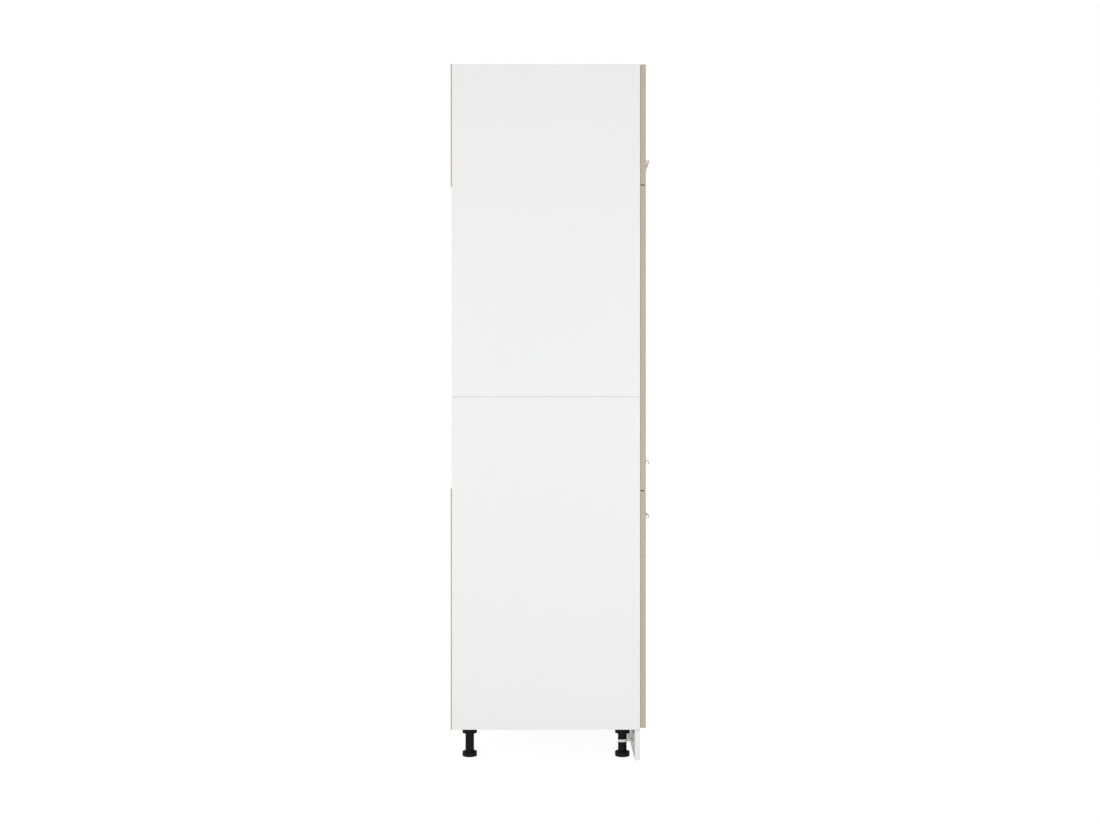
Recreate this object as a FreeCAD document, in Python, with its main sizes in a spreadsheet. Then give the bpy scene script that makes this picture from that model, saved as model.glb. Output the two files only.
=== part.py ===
"""Fridge housing cabinet: two stacked boxes with a fridge niche, three doors, legs and a plinth.

X runs across the cabinet, the doors face -Y and +Z is up. The origin is on the floor, under the middle
of the whole cabinet with its doors and handles.
"""
import FreeCAD, Part
import os
import re
import Sketcher

from FreeCAD import Placement, Rotation, Vector

# Driving sizes in millimetres and degrees
SIZES = {
    # cabinet
    "overall_width": 600,
    "overall_height": 2070,
    "carcass_depth": 560,
    "leg_height": 92,
    "board": 16,
    "board_edge": 0.5,
    "lower_side_height": 989,
    "niche_floor_height": 716,
    "niche_height": 901,
    "back_thickness": 3,
    # play left round a part in its hole, on the radius
    "fit": 0.05,
    # doors
    "door_thickness": 16,
    "door_edge": 0.8,
    "door_gap": 1,
    "door_joint": 3,
    "door_side_reveal": 2,
    "door_top_reveal": 0.5,
    "door_bottom_reveal": 4.5,
    "upper_split_inset": 2,
    "lower_split_inset": 6,
    "bumper_diameter": 9,
    "bumper_height": 0.8,
    "bumper_inset": 8,
    "bumper_level": 30,
    # handles
    "handle_span": 128,
    "handle_foot": 12,
    "handle_projection": 15,
    "handle_grip": 4.5,
    "handle_height": 8,
    "handle_corner": 8,
    "handle_inner_corner": 4,
    "handle_edge": 1,
    "handle_inset": 58,
    "handle_offset": 80,
    "handle_screw_diameter": 4,
    "handle_screw_bite": 10,
    "handle_screw_head": 8,
    "handle_screw_head_height": 2.5,
    # adjustable shelf in the bottom cupboard
    "shelf_play": 1,
    "shelf_setback": 30,
    "shelf_height": 350,
    "pin_row_setback": 37,
    "pin_row_step": 32,
    "pin_diameter": 5,
    "pin_bite": 10,
    "pin_reach": 9,
    # cam joints and dowels between panels and sides
    "joint_setback": 92,
    "dowel_setback": 60,
    "cam_diameter": 15,
    "cam_height": 12.2,
    "cam_distance": 34,
    "cam_slot": 2.5,
    "cam_slot_depth": 3,
    "bolt_diameter": 6,
    "bolt_bite": 11,
    "bolt_channel": 7,
    "dowel_diameter": 8,
    "dowel_side_bite": 11,
    "dowel_panel_bite": 21,
    # dowels and plates that join the upper and lower sides
    "side_dowel_length": 40,
    "side_dowel_setback": 80,
    "plate_setback": 140,
    "plate_width": 30,
    "plate_height": 110,
    "plate_thickness": 2,
    "plate_inner_hole": 16,
    "plate_outer_hole": 44,
    # common panel screw
    "screw_diameter": 3.5,
    "screw_bite": 12,
    "screw_head": 7,
    "screw_head_height": 2,
    "screw_slot": 1,
    "screw_slot_depth": 1,
    "slot_share": 0.6,
    "hole_end": 0.4,
    # nails of the back panels
    "nail_diameter": 1.4,
    "nail_bite": 13,
    "nail_head": 4,
    "nail_head_height": 0.8,
    "nail_end": 25,
    # wall fixing brackets in the top cupboard
    "bracket_spread": 400,
    "bracket_width": 40,
    "bracket_leg": 32,
    "bracket_thickness": 2,
    "wall_hole": 6.5,
    "wall_hole_drop": 18,
    "bracket_screw_spread": 20,
    # concealed hinges, seen from above: inset from the cabinet's outer side, reach in front of the carcass
    "hinge_setback": 100,
    "arm_pivot_inset": 32,
    "arm_pivot_reach": 0,
    "cup_pivot_inset": 11,
    "cup_pivot_reach": 5,
    "hinge_pin_diameter": 1.6,
    "link_neck": 7,
    "link_neck_angle": 37,
    "link_half_width": 2,
    "link_eye": 3.2,
    "link_slot": 1.05,
    "link_slot_play": 0.15,
    "link_height": 7.2,
    "link_side_play": 0.3,
    "arm_width": 16,
    "arm_wall": 1.6,
    "arm_lift": 1,
    "arm_nose": 4.2,
    "arm_length": 68,
    "arm_slot_length": 12,
    "arm_top": 33,
    "mount_foot": 3,
    "mount_foot_length": 16,
    "mount_foot_height": 50,
    "mount_play": 0.2,
    "mount_screw_setback": 37,
    "mount_screw_spread": 32,
    "mount_screw_diameter": 5,
    "mount_screw_head": 8.5,
    "arm_screw_setback": 50,
    "arm_screw_diameter": 4.5,
    "cup_diameter": 35,
    "cup_depth": 11.5,
    "cup_edge": 5,
    "cup_wall": 1,
    "cup_floor": 0.6,
    "cup_play": 0.2,
    "flange_thickness": 1.2,
    "flange_height": 64,
    "flange_start": 1.5,
    "flange_width": 18,
    "flange_screw_spread": 48,
    # legs
    "leg_front_setback": 50,
    "leg_side_setback": 60,
    "socket_diameter": 44,
    "socket_height": 22,
    "socket_bore_depth": 15,
    "socket_floor": 5,
    "socket_screw_circle": 35,
    "socket_well": 7.4,
    "column_diameter": 26,
    "column_bore": 18,
    "column_roof": 4,
    "foot_diameter": 44,
    "foot_height": 13.5,
    "foot_chamfer": 1,
    "foot_sole_chamfer": 1,
    "foot_gap": 0.3,
    "foot_stem_length": 56,
    "foot_stem_play": 0.3,
    # plinth
    "plinth_thickness": 16,
    "plinth_top_gap": 1.5,
    "plinth_floor_gap": 1,
    "clip_height": 7.5,
    "clip_drop": 26,
    "clip_wall": 2,
    "clip_play": 0.3,
    "clip_neck": 10,
    "clip_base_width": 56,
    "clip_base_height": 36,
    "clip_base_drop": 7,
    "clip_base_thickness": 3,
    "clip_screw_spread": 40,
    "clip_web": 3,
    "clip_web_gap": 1.5,
}

doc = FreeCAD.newDocument("fridge_housing_cabinet")
sheet = doc.addObject("Spreadsheet::Sheet", "Dimensions")
for row, (alias, size) in enumerate(SIZES.items(), start=1):
    sheet.set(f"A{row}", alias)
    sheet.set(f"B{row}", str(size))
    sheet.setAlias(f"B{row}", alias)
doc.recompute()

# Places worked out from the driving sizes
HALF_WIDTH = "(overall_width / 2)"
INNER = "(overall_width / 2 - board)"
SIDE_MIDDLE = "(overall_width / 2 - board / 2)"
DEPTH = "(back_thickness + carcass_depth + door_gap + door_thickness + handle_projection)"
BACK = f"({DEPTH} / 2)"
REAR = f"({BACK} - back_thickness)"
FRONT = f"({REAR} - carcass_depth)"
MIDDLE = f"({REAR} - carcass_depth / 2)"
DOOR_BACK = f"({FRONT} - door_gap)"
DOOR_FRONT = f"({DOOR_BACK} - door_thickness)"
BODY_BOTTOM = "leg_height"
BODY_TOP = "overall_height"
SIDE_JOINT = "(leg_height + lower_side_height)"
NICHE_FLOOR = "(leg_height + niche_floor_height)"
NICHE_TOP = f"({NICHE_FLOOR} + niche_height)"
UPPER_SPLIT = f"({NICHE_TOP} + upper_split_inset)"
LOWER_SPLIT = f"({NICHE_FLOOR} - lower_split_inset)"
DOOR_WIDTH = "(overall_width - 2 * door_side_reveal)"
SHELF_BOTTOM = "(leg_height + shelf_height)"

# The undersides of the four panels that tie the sides together, from the top down
PANELS = {
    "top_panel": "(overall_height - board)",
    "niche_top_shelf": NICHE_TOP,
    "niche_floor_shelf": f"({NICHE_FLOOR} - board)",
    "bottom_panel": BODY_BOTTOM,
}

# Each door's bottom and top edge
DOORS = {
    "top": (f"({UPPER_SPLIT} + door_joint / 2)", "(overall_height - door_top_reveal)"),
    "middle": (f"({LOWER_SPLIT} + door_joint / 2)", f"({UPPER_SPLIT} - door_joint / 2)"),
    "bottom": ("(leg_height + door_bottom_reveal)", f"({LOWER_SPLIT} - door_joint / 2)"),
}

# The tall door has a third hinge half-way up
HINGES = {
    door: [f"({low} + hinge_setback)", f"({high} - hinge_setback)"]
    for door, (low, high) in DOORS.items()
}
HINGES["middle"].append(f"(({DOORS['middle'][0]} + {DOORS['middle'][1]}) / 2)")

# The handles sit towards the edges that are easiest to reach
HANDLES = {
    "top": f"({DOORS['top'][0]} + handle_offset)",
    "middle": f"({DOORS['middle'][0]} + handle_offset)",
    "bottom": f"({DOORS['bottom'][1]} - handle_offset)",
}
HANDLE_LENGTH = "(handle_span + handle_foot)"
HANDLE_X = f"({HANDLE_LENGTH} / 2 + handle_inset + door_side_reveal - overall_width / 2)"

JOINT_ROWS = [f"({FRONT} + joint_setback)", f"({REAR} - joint_setback)"]
DOWEL_ROWS = [f"({FRONT} + dowel_setback)", f"({REAR} - dowel_setback)"]
SIDE_DOWEL_ROWS = [f"({FRONT} + side_dowel_setback)", MIDDLE, f"({REAR} - side_dowel_setback)"]
PLATE_ROWS = [f"({FRONT} + plate_setback)", f"({REAR} - plate_setback)"]
PLATE_HOLES = ["plate_inner_hole", "plate_outer_hole"]
PIN_ROWS = [f"({FRONT} + shelf_setback + pin_row_setback)", f"({REAR} - pin_row_setback)"]
PIN_LEVEL = f"({SHELF_BOTTOM} - pin_diameter / 2)"
PIN_STEPS = ["-pin_row_step", "0", "pin_row_step"]
LEG_COLUMNS = ["(leg_side_setback - overall_width / 2)", "(overall_width / 2 - leg_side_setback)"]
LEG_ROWS = {"front": f"({FRONT} + leg_front_setback)", "rear": f"({REAR} - leg_front_setback)"}
SOCKET_SCREW_TURNS = [90, 210, 330]

# Left and right: the sign of x with the way towards the cabinet's middle, and the two halves of a spread
HANDS = ((-1, "+X"), (1, "-X"))
SIGNS = (-1, 1)
HALVES = (-0.5, 0.5)

TURNS = {
    "+X": Rotation(Vector(0, 1, 0), 90),
    "-X": Rotation(Vector(0, 1, 0), -90),
    "+Y": Rotation(Vector(1, 0, 0), -90),
    "-Y": Rotation(Vector(1, 0, 0), 90),
    "+Z": Rotation(),
    "-Z": Rotation(Vector(1, 0, 0), 180),
}
nodes = []


def full(text):
    """The expression with every size's name pointed at the sheet."""
    def point_at_sheet(word):
        return f"Dimensions.{word[0]}" if word[0] in SIZES else word[0]

    return re.sub(r"[a-z][a-z_]+", point_at_sheet, str(text))


def value(text):
    """The number that an expression of sizes gives."""
    result = sheet.evalExpression(full(text))
    return float(getattr(result, "Value", result))


def bind(item, **texts):
    for name, text in texts.items():
        item.setExpression(name, full(text))


def place(item, corner, turn="+Z"):
    item.Placement = Placement(Vector(), TURNS[turn])
    for axis, text in zip("xyz", corner):
        item.setExpression(f"Placement.Base.{axis}", full(text))


def point(x, y, z):
    return Vector(value(x), value(y), value(z))


def box(name, lengths, corner):
    item = doc.addObject("Part::Box", name)
    bind(item, Length=lengths[0], Width=lengths[1], Height=lengths[2])
    place(item, corner)
    return item


def cylinder(name, diameter, length, base, turn="+Z"):
    item = doc.addObject("Part::Cylinder", name)
    bind(item, Radius=f"({diameter}) / 2", Height=length)
    place(item, base, turn)
    return item


def compound(name, items):
    item = doc.addObject("Part::Compound", name)
    item.Links = items
    return item


def fuse(name, items):
    item = doc.addObject("Part::MultiFuse", name)
    item.Shapes = items
    return item


def cut(name, base, tools):
    item = doc.addObject("Part::Cut", name)
    item.Base = base
    item.Tool = compound(f"{name}_tools", tools)
    return item


def hole(name, diameter, depth, mouth, turn):
    """A drill for a part of this diameter and bite, with its play all round and past its end."""
    return cylinder(f"{name}_hole", f"{diameter} + 2 * fit", f"{depth} + hole_end", mouth, turn)


def rounded_board(name, lengths, corner, edge="board_edge"):
    """A board with all of its edges eased."""
    body = doc.addObject("PartDesign::Body", f"{name}_blank")
    block = body.newObject("PartDesign::AdditiveBox", f"{name}_block")
    bind(block, Length=lengths[0], Width=lengths[1], Height=lengths[2])
    easing = body.newObject("PartDesign::Fillet", f"{name}_easing")
    easing.Base = (block, ["Edge1"])
    easing.UseAllEdges = True
    bind(easing, Radius=edge)
    place(body, corner)
    return body


def origin_plane(body, role):
    return next(plane for plane in body.Origin.OriginFeatures if plane.Role == role)


def outline(body, name, role, corners):
    """A closed sketch of straight lines whose corners are bound to the sizes."""
    sketch = body.newObject("Sketcher::SketchObject", name)
    sketch.AttachmentSupport = [(origin_plane(body, role), "")]
    sketch.MapMode = "FlatFace"
    points = [point(across, along, 0) for across, along in corners]
    for start, end in zip(points, points[1:] + points[:1]):
        sketch.addGeometry(Part.LineSegment(start, end), False)
    for index in range(len(points)):
        sketch.addConstraint(Sketcher.Constraint("Coincident", index, 2, (index + 1) % len(points), 1))
    for index, texts in enumerate(corners):
        for kind, text, axis in zip(("DistanceX", "DistanceY"), texts, (-2, -1)):
            if value(text) == 0:
                sketch.addConstraint(Sketcher.Constraint("PointOnObject", index, 1, axis))
            else:
                number = sketch.addConstraint(Sketcher.Constraint(kind, -1, 1, index, 1, value(text)))
                sketch.setExpression(f"Constraints[{number}]", full(text))
    return sketch


def keep(label, item):
    """Lists a finished sub-part under its own label."""
    item.Label = label
    nodes.append(item)
    return item


def group(label, master, places):
    """A sub-part made of equal pieces, each a copy of the master at one place."""
    doc.recompute()
    item = doc.addObject("Part::Feature", label)
    copies = []
    for spot in places:
        copy = master.Shape.copy()
        copy.Placement = spot.multiply(copy.Placement)
        copies.append(copy)
    item.Shape = Part.makeCompound(copies)
    return keep(label, item)


def at(x, y, z, turn="+Z"):
    return Placement(point(x, y, z), TURNS[turn])


def cross(name, across, wide, depth, base):
    """Two crossed slots for a driver, their length a share of the head that they are cut across."""
    long = f"({across} * slot_share)"
    return [
        box(f"{name}_slot_{number}", (x, y, depth), (f"-{x} / 2", f"-{y} / 2", base))
        for number, (x, y) in enumerate(((long, wide), (wide, long)))
    ]


# Fastener masters, each along +Z from the face it sits on, with its shank below
def headed_pin(name, diameter, bite, head, head_height):
    shank = cylinder(f"{name}_shank", diameter, bite, ("0", "0", f"-({bite})"))
    cap = cylinder(f"{name}_head", head, head_height, ("0", "0", "0"))
    return fuse(name, [shank, cap])


def screw(name, diameter, bite, head, head_height):
    blank = headed_pin(f"{name}_blank", diameter, bite, head, head_height)
    slot_base = f"({head_height} - screw_slot_depth)"
    return cut(name, blank, cross(name, head, "screw_slot", "screw_slot_depth", slot_base))


def peg(name, diameter, length):
    return cylinder(name, diameter, length, ("0", "0", "0"))


def panel_screw(name, through):
    """The common screw, driven through a fitting of this thickness."""
    return screw(name, "screw_diameter", f"(screw_bite + {through})", "screw_head", "screw_head_height")


def ease(name, base, radius, chosen):
    """The base with the chosen edges rounded."""
    doc.recompute()
    item = doc.addObject("Part::Fillet", name)
    item.Base = base
    size = value(radius)
    numbered = enumerate(base.Shape.Edges, start=1)
    item.Edges = [(number, size, size) for number, edge in numbered if chosen(edge)]
    return item


def is_upright(edge):
    ends = edge.Vertexes
    return len(ends) == 2 and abs(ends[0].Z - ends[1].Z) > edge.Length / 2


def between(text, low, high):
    return value(low) <= value(text) < value(high)


# Nails of the back panels: their levels along the sides and places along the panels
BACKS = {
    "upper_back_panel": (NICHE_TOP, BODY_TOP),
    "lower_back_panel": (BODY_BOTTOM, NICHE_FLOOR),
}
SIDE_NAIL_SHARES = [0, 0.25, 0.5, 0.75, 1]
PANEL_NAILS = ["-overall_width / 4", "0", "overall_width / 4"]


def side_nail_levels(low, high):
    first = f"({low} + board + nail_end)"
    run = f"({high} - {low} - 2 * board - 2 * nail_end)"
    return [f"({first} + {run} * {share})" for share in SIDE_NAIL_SHARES]


def panel_middle(name):
    return f"({PANELS[name]} + board / 2)"


BACK_PANEL_EDGES = {
    "upper_back_panel": ("top_panel", "niche_top_shelf"),
    "lower_back_panel": ("niche_floor_shelf", "bottom_panel"),
}


def nail_spots(back):
    """Across and up places of one back panel's nails."""
    levels = side_nail_levels(*BACKS[back])
    spots = [(f"{sign} * {SIDE_MIDDLE}", level) for sign in SIGNS for level in levels]
    for panel in BACK_PANEL_EDGES[back]:
        spots += [(x, panel_middle(panel)) for x in PANEL_NAILS]
    return spots


# Sides, each in a lower and an upper half
def side(label, sign, low, high, end_turn):
    outwards = "+X" if sign > 0 else "-X"
    inner = f"{sign} * {INNER}"
    outer = f"{sign} * {SIDE_MIDDLE} - board / 2"
    drills = []

    def drill(diameter, depth, mouth, turn=outwards):
        drills.append(hole(f"{label}_{len(drills)}", diameter, depth, mouth, turn))

    for bottom in PANELS.values():
        if between(bottom, low, high):
            for y in JOINT_ROWS:
                drill("bolt_diameter", "bolt_bite", (inner, y, f"{bottom} + board / 2"))
            for y in DOWEL_ROWS:
                drill("dowel_diameter", "dowel_side_bite", (inner, y, f"{bottom} + board / 2"))
    for y in SIDE_DOWEL_ROWS:
        drill("dowel_diameter", "side_dowel_length / 2", (f"{sign} * {SIDE_MIDDLE}", y, SIDE_JOINT), end_turn)
    step = "" if end_turn == "+Z" else "-"
    for y in PLATE_ROWS:
        for offset in PLATE_HOLES:
            drill("screw_diameter", "screw_bite", (inner, y, f"{SIDE_JOINT} + {step}{offset}"))
    for bounds in BACKS.values():
        for level in side_nail_levels(*bounds):
            if between(level, low, high):
                drill("nail_diameter", "nail_bite", (f"{sign} * {SIDE_MIDDLE}", REAR, level), "-Y")
    if sign > 0:
        for level in sum(HINGES.values(), []):
            if between(level, low, high):
                for half in HALVES:
                    height = f"{level} + {half} * mount_screw_spread"
                    mouth = (inner, f"{FRONT} + mount_screw_setback", height)
                    drill("mount_screw_diameter", "screw_bite", mouth)
    if between(PIN_LEVEL, low, high):
        for y in PIN_ROWS:
            for pin_step in PIN_STEPS:
                drill("pin_diameter", "pin_bite", (inner, y, f"{PIN_LEVEL} + {pin_step}"))
    blank = rounded_board(label, ("board", "carcass_depth", f"{high} - {low}"), (outer, FRONT, low))
    return keep(label, cut(label, blank, drills))


for hand, sign in (("left", -1), ("right", 1)):
    side(f"{hand}_side_lower", sign, BODY_BOTTOM, SIDE_JOINT, "-Z")
    side(f"{hand}_side_upper", sign, SIDE_JOINT, BODY_TOP, "+Z")


# Panels between the sides
def leg_spots():
    return [(x, y) for x in LEG_COLUMNS for y in LEG_ROWS.values()]


def socket_screw_spots():
    spots = []
    for x, y in leg_spots():
        for turn in SOCKET_SCREW_TURNS:
            across = f"({x} + socket_screw_circle / 2 * cos({turn} deg))"
            along = f"({y} + socket_screw_circle / 2 * sin({turn} deg))"
            spots.append((across, along))
    return spots


def bracket_screw_spots():
    along = f"({REAR} - bracket_leg / 2)"
    return [
        (f"({hand} * bracket_spread / 2 + {half} * bracket_screw_spread)", along)
        for hand in SIGNS
        for half in HALVES
    ]


SCREWS_FROM_BELOW = {"top_panel": bracket_screw_spots(), "bottom_panel": socket_screw_spots()}


def cross_panel(label):
    bottom = PANELS[label]
    middle = panel_middle(label)
    drills = []

    def drill(diameter, depth, mouth, turn):
        drills.append(hole(f"{label}_{len(drills)}", diameter, depth, mouth, turn))

    for sign, inwards in HANDS:
        for y in JOINT_ROWS:
            drill("bolt_channel", "(cam_distance + bolt_diameter)", (f"{sign} * {INNER}", y, middle), inwards)
            drill("cam_diameter", "cam_height", (f"{sign} * ({INNER} - cam_distance)", y, bottom), "+Z")
        for y in DOWEL_ROWS:
            drill("dowel_diameter", "dowel_panel_bite", (f"{sign} * {INNER}", y, middle), inwards)
    for x in PANEL_NAILS:
        drill("nail_diameter", "nail_bite", (x, REAR, middle), "-Y")
    for x, y in SCREWS_FROM_BELOW.get(label, []):
        drill("screw_diameter", "screw_bite", (x, y, bottom), "+Z")
    lengths = ("overall_width - 2 * board", "carcass_depth", "board")
    blank = rounded_board(label, lengths, (f"-{INNER}", FRONT, bottom))
    return keep(label, cut(label, blank, drills))


for label in PANELS:
    cross_panel(label)


# Back panels and their nails
def back_panel(label):
    low, high = BACKS[label]
    drills = []
    for number, (x, z) in enumerate(nail_spots(label)):
        drills.append(hole(f"{label}_shank_{number}", "nail_diameter", "back_thickness", (x, BACK, z), "-Y"))
        drills.append(hole(f"{label}_head_{number}", "nail_head", "nail_head_height", (x, BACK, z), "-Y"))
    if label == "upper_back_panel":
        for hand in SIGNS:
            mouth = (f"{hand} * bracket_spread / 2", BACK, f"{PANELS['top_panel']} - wall_hole_drop")
            drills.append(cylinder(f"{label}_wall_{hand}", "wall_hole", "2 * back_thickness", mouth, "-Y"))
    lengths = ("overall_width", "back_thickness", f"{high} - {low}")
    return keep(label, cut(label, box(f"{label}_sheet", lengths, (f"-{HALF_WIDTH}", REAR, low)), drills))


for label in BACKS:
    back_panel(label)

nail_length = "(back_thickness - nail_head_height + nail_bite)"
nail = headed_pin("nail", "nail_diameter", nail_length, "nail_head", "nail_head_height")
nail_seat = f"({BACK} - nail_head_height)"
group("back_nails", nail, [at(x, nail_seat, z, "+Y") for back in BACKS for x, z in nail_spots(back)])

# Cam locks, their bolts and the dowels
cam_blank = cylinder("cam_blank", "cam_diameter", "cam_height", ("0", "0", "0"))
cam_channel = cylinder(
    "cam_channel", "bolt_channel", "2 * cam_diameter", ("-cam_diameter", "0", "board / 2"), "+X",
)
cam = cut("cam", cam_blank, [cam_channel] + cross("cam", "cam_diameter", "cam_slot", "cam_slot_depth", "0"))
cam_bolt = peg("cam_bolt", "bolt_diameter", "bolt_bite + cam_distance + bolt_diameter / 2")
panel_dowel = peg("panel_dowel", "dowel_diameter", "dowel_side_bite + dowel_panel_bite")
side_dowel = peg("side_dowel", "dowel_diameter", "side_dowel_length")
group("cam_locks", cam, [
    at(f"{sign} * ({INNER} - cam_distance)", y, bottom)
    for bottom in PANELS.values() for sign in SIGNS for y in JOINT_ROWS
])
group("cam_bolts", cam_bolt, [
    at(f"{sign} * ({INNER} + bolt_bite)", y, panel_middle(panel), turn)
    for panel in PANELS for sign, turn in HANDS for y in JOINT_ROWS
])
group("panel_dowels", panel_dowel, [
    at(f"{sign} * ({INNER} + dowel_side_bite)", y, panel_middle(panel), turn)
    for panel in PANELS for sign, turn in HANDS for y in DOWEL_ROWS
])
group("side_dowels", side_dowel, [
    at(f"{sign} * {SIDE_MIDDLE}", y, f"{SIDE_JOINT} - side_dowel_length / 2")
    for sign in SIGNS for y in SIDE_DOWEL_ROWS
])

# Steel plates across the joint of the side halves
PLATE_LEVELS = [f"{step}{offset}" for step in ("", "-") for offset in PLATE_HOLES]
plate_lengths = ("plate_thickness", "plate_width", "plate_height")
plate_blank = box("plate_blank", plate_lengths, ("0", "-plate_width / 2", "-plate_height / 2"))
plate_holes = [
    hole(f"plate_{number}", "screw_diameter", "plate_thickness", ("0", "0", level), "+X")
    for number, level in enumerate(PLATE_LEVELS)
]
joint_plate = cut("joint_plate", plate_blank, plate_holes)
group("side_joint_plates", joint_plate, [
    at(x, y, SIDE_JOINT) for x in (f"-{INNER}", f"{INNER} - plate_thickness") for y in PLATE_ROWS
])
group("joint_plate_screws", panel_screw("joint_plate_screw", "plate_thickness"), [
    at(f"{sign} * ({INNER} - plate_thickness)", y, f"{SIDE_JOINT} + {level}", turn)
    for sign, turn in HANDS for y in PLATE_ROWS for level in PLATE_LEVELS
])

# Wall fixing brackets under the top panel
leg_flat = box(
    "bracket_flat", ("bracket_width", "bracket_leg", "bracket_thickness"),
    ("-bracket_width / 2", "-bracket_leg", "-bracket_thickness"),
)
leg_upright = box(
    "bracket_upright", ("bracket_width", "bracket_thickness", "bracket_leg"),
    ("-bracket_width / 2", "-bracket_thickness", "-bracket_leg"),
)
bracket_drills = [
    hole(f"bracket_{half}", "screw_diameter", "bracket_thickness",
         (f"{half} * bracket_screw_spread", "-bracket_leg / 2", "-bracket_thickness"), "+Z")
    for half in HALVES
]
bracket_drills.append(cylinder("bracket_wall_hole", "wall_hole", "4 * bracket_thickness",
                               ("0", "bracket_thickness", "-wall_hole_drop"), "-Y"))
bracket = cut("bracket", fuse("bracket_blank", [leg_flat, leg_upright]), bracket_drills)
group("wall_brackets", bracket, [
    at(f"{hand} * bracket_spread / 2", REAR, PANELS["top_panel"]) for hand in SIGNS
])
group("wall_bracket_screws", panel_screw("bracket_screw", "bracket_thickness"), [
    at(x, y, f"{PANELS['top_panel']} - bracket_thickness", "-Z") for x, y in bracket_screw_spots()
])

# Adjustable shelf on four pins
shelf_lengths = ("overall_width - 2 * board - 2 * shelf_play", "carcass_depth - shelf_setback", "board")
shelf_corner = (f"shelf_play - {INNER}", f"{FRONT} + shelf_setback", SHELF_BOTTOM)
keep("cupboard_shelf", rounded_board("cupboard_shelf", shelf_lengths, shelf_corner))
group("shelf_pins", peg("shelf_pin", "pin_diameter", "pin_bite + pin_reach"), [
    at(f"{sign} * ({INNER} + pin_bite)", y, PIN_LEVEL, turn) for sign, turn in HANDS for y in PIN_ROWS
])


# Doors with their cup bores and handle holes
CUP_INSET = "(door_side_reveal + cup_edge + cup_diameter / 2)"
CUP_X = f"({HALF_WIDTH} - {CUP_INSET})"
HANDLE_SCREWS = [f"({HANDLE_X} + {half} * handle_span)" for half in HALVES]


def cup_screw_levels(level):
    return [f"({level} + {half} * flange_screw_spread)" for half in HALVES]


def door(name):
    low, high = DOORS[name]
    label = f"{name}_door"
    drills = []

    def drill(diameter, depth, x, z):
        drills.append(hole(f"{label}_{len(drills)}", diameter, depth, (x, DOOR_BACK, z), "-Y"))

    for level in HINGES[name]:
        drill("cup_diameter", "cup_depth", CUP_X, level)
        for z in cup_screw_levels(level):
            drill("screw_diameter", "screw_bite", CUP_X, z)
    for x in HANDLE_SCREWS:
        drill("handle_screw_diameter", "door_thickness", x, HANDLES[name])
    lengths = (DOOR_WIDTH, "door_thickness", f"{high} - {low}")
    blank = rounded_board(label, lengths, (f"-{DOOR_WIDTH} / 2", DOOR_FRONT, low), "door_edge")
    return keep(label, cut(label, blank, drills))


# Bridge handles, one for each door
def is_front_corner(edge):
    return is_upright(edge) and edge.CenterOfMass.y < 0


def is_rim(edge):
    return not is_upright(edge) and edge.CenterOfMass.y < 0


def rounded_slab(name, lengths, corner, radius):
    return ease(name, box(f"{name}_block", lengths, corner), radius, is_front_corner)


def handle_shape():
    """A handle against the plane y = 0, its middle at the origin."""
    lengths = (HANDLE_LENGTH, "handle_projection", "handle_height")
    corner = (f"-{HANDLE_LENGTH} / 2", "-handle_projection", "-handle_height / 2")
    outer = rounded_slab("handle_outer", lengths, corner, "handle_corner")
    gap = "(handle_span - handle_foot)"
    reach = "(handle_projection - handle_grip)"
    gap_lengths = (gap, f"2 * {reach}", "2 * handle_height")
    gap_corner = (f"-{gap} / 2", f"-{reach}", "-handle_height")
    inner = rounded_slab("handle_gap", gap_lengths, gap_corner, "handle_inner_corner")
    eased = ease("handle_eased", cut("handle_bridge", outer, [inner]), "handle_edge", is_rim)
    threads = [
        hole(f"handle_thread_{half}", "handle_screw_diameter", "handle_screw_bite",
             (f"{half} * handle_span", "0", "0"), "-Y")
        for half in HALVES
    ]
    return cut("handle", eased, threads)


handle = handle_shape()
handle_screw = screw(
    "handle_screw", "handle_screw_diameter", "(door_thickness + handle_screw_bite)",
    "handle_screw_head", "handle_screw_head_height",
)
bumper = peg("bumper", "bumper_diameter", "bumper_height")
for name, (low, high) in DOORS.items():
    door(name)
    group(f"{name}_handle", handle, [at(HANDLE_X, DOOR_FRONT, HANDLES[name])])
    screw_places = [at(x, DOOR_BACK, HANDLES[name], "+Y") for x in HANDLE_SCREWS]
    group(f"{name}_handle_screws", handle_screw, screw_places)
    bumper_x = f"(bumper_inset - {HALF_WIDTH})"
    bumper_levels = [f"({low} + bumper_level)", f"({high} - bumper_level)"]
    group(f"{name}_door_bumpers", bumper, [at(bumper_x, DOOR_BACK, z, "+Y") for z in bumper_levels])

# Concealed hinges. Their masters stand at the outer front edge of the right side, at hinge height.
ARM_PIVOT = ("-arm_pivot_inset", "-arm_pivot_reach")
CUP_PIVOT = ("-cup_pivot_inset", "-cup_pivot_reach")
ARM_START = "(board + mount_foot + arm_lift)"
SLOT_HALF = "(link_height / 2 + link_side_play)"
ARM_INNER = "(arm_width / 2 - arm_wall)"
MOUNT_TOP = "(arm_top - arm_wall - mount_play)"
CUP_FACE = "(flange_thickness - door_gap)"


def hinge_box(name, insets, setbacks, half_height):
    """A block between two insets from the side and two setbacks behind the front edge."""
    near, far = insets
    front, rear = setbacks
    lengths = (f"{far} - {near}", f"{rear} - {front}", f"2 * {half_height}")
    return box(name, lengths, (f"-({far})", front, f"-({half_height})"))


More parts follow.
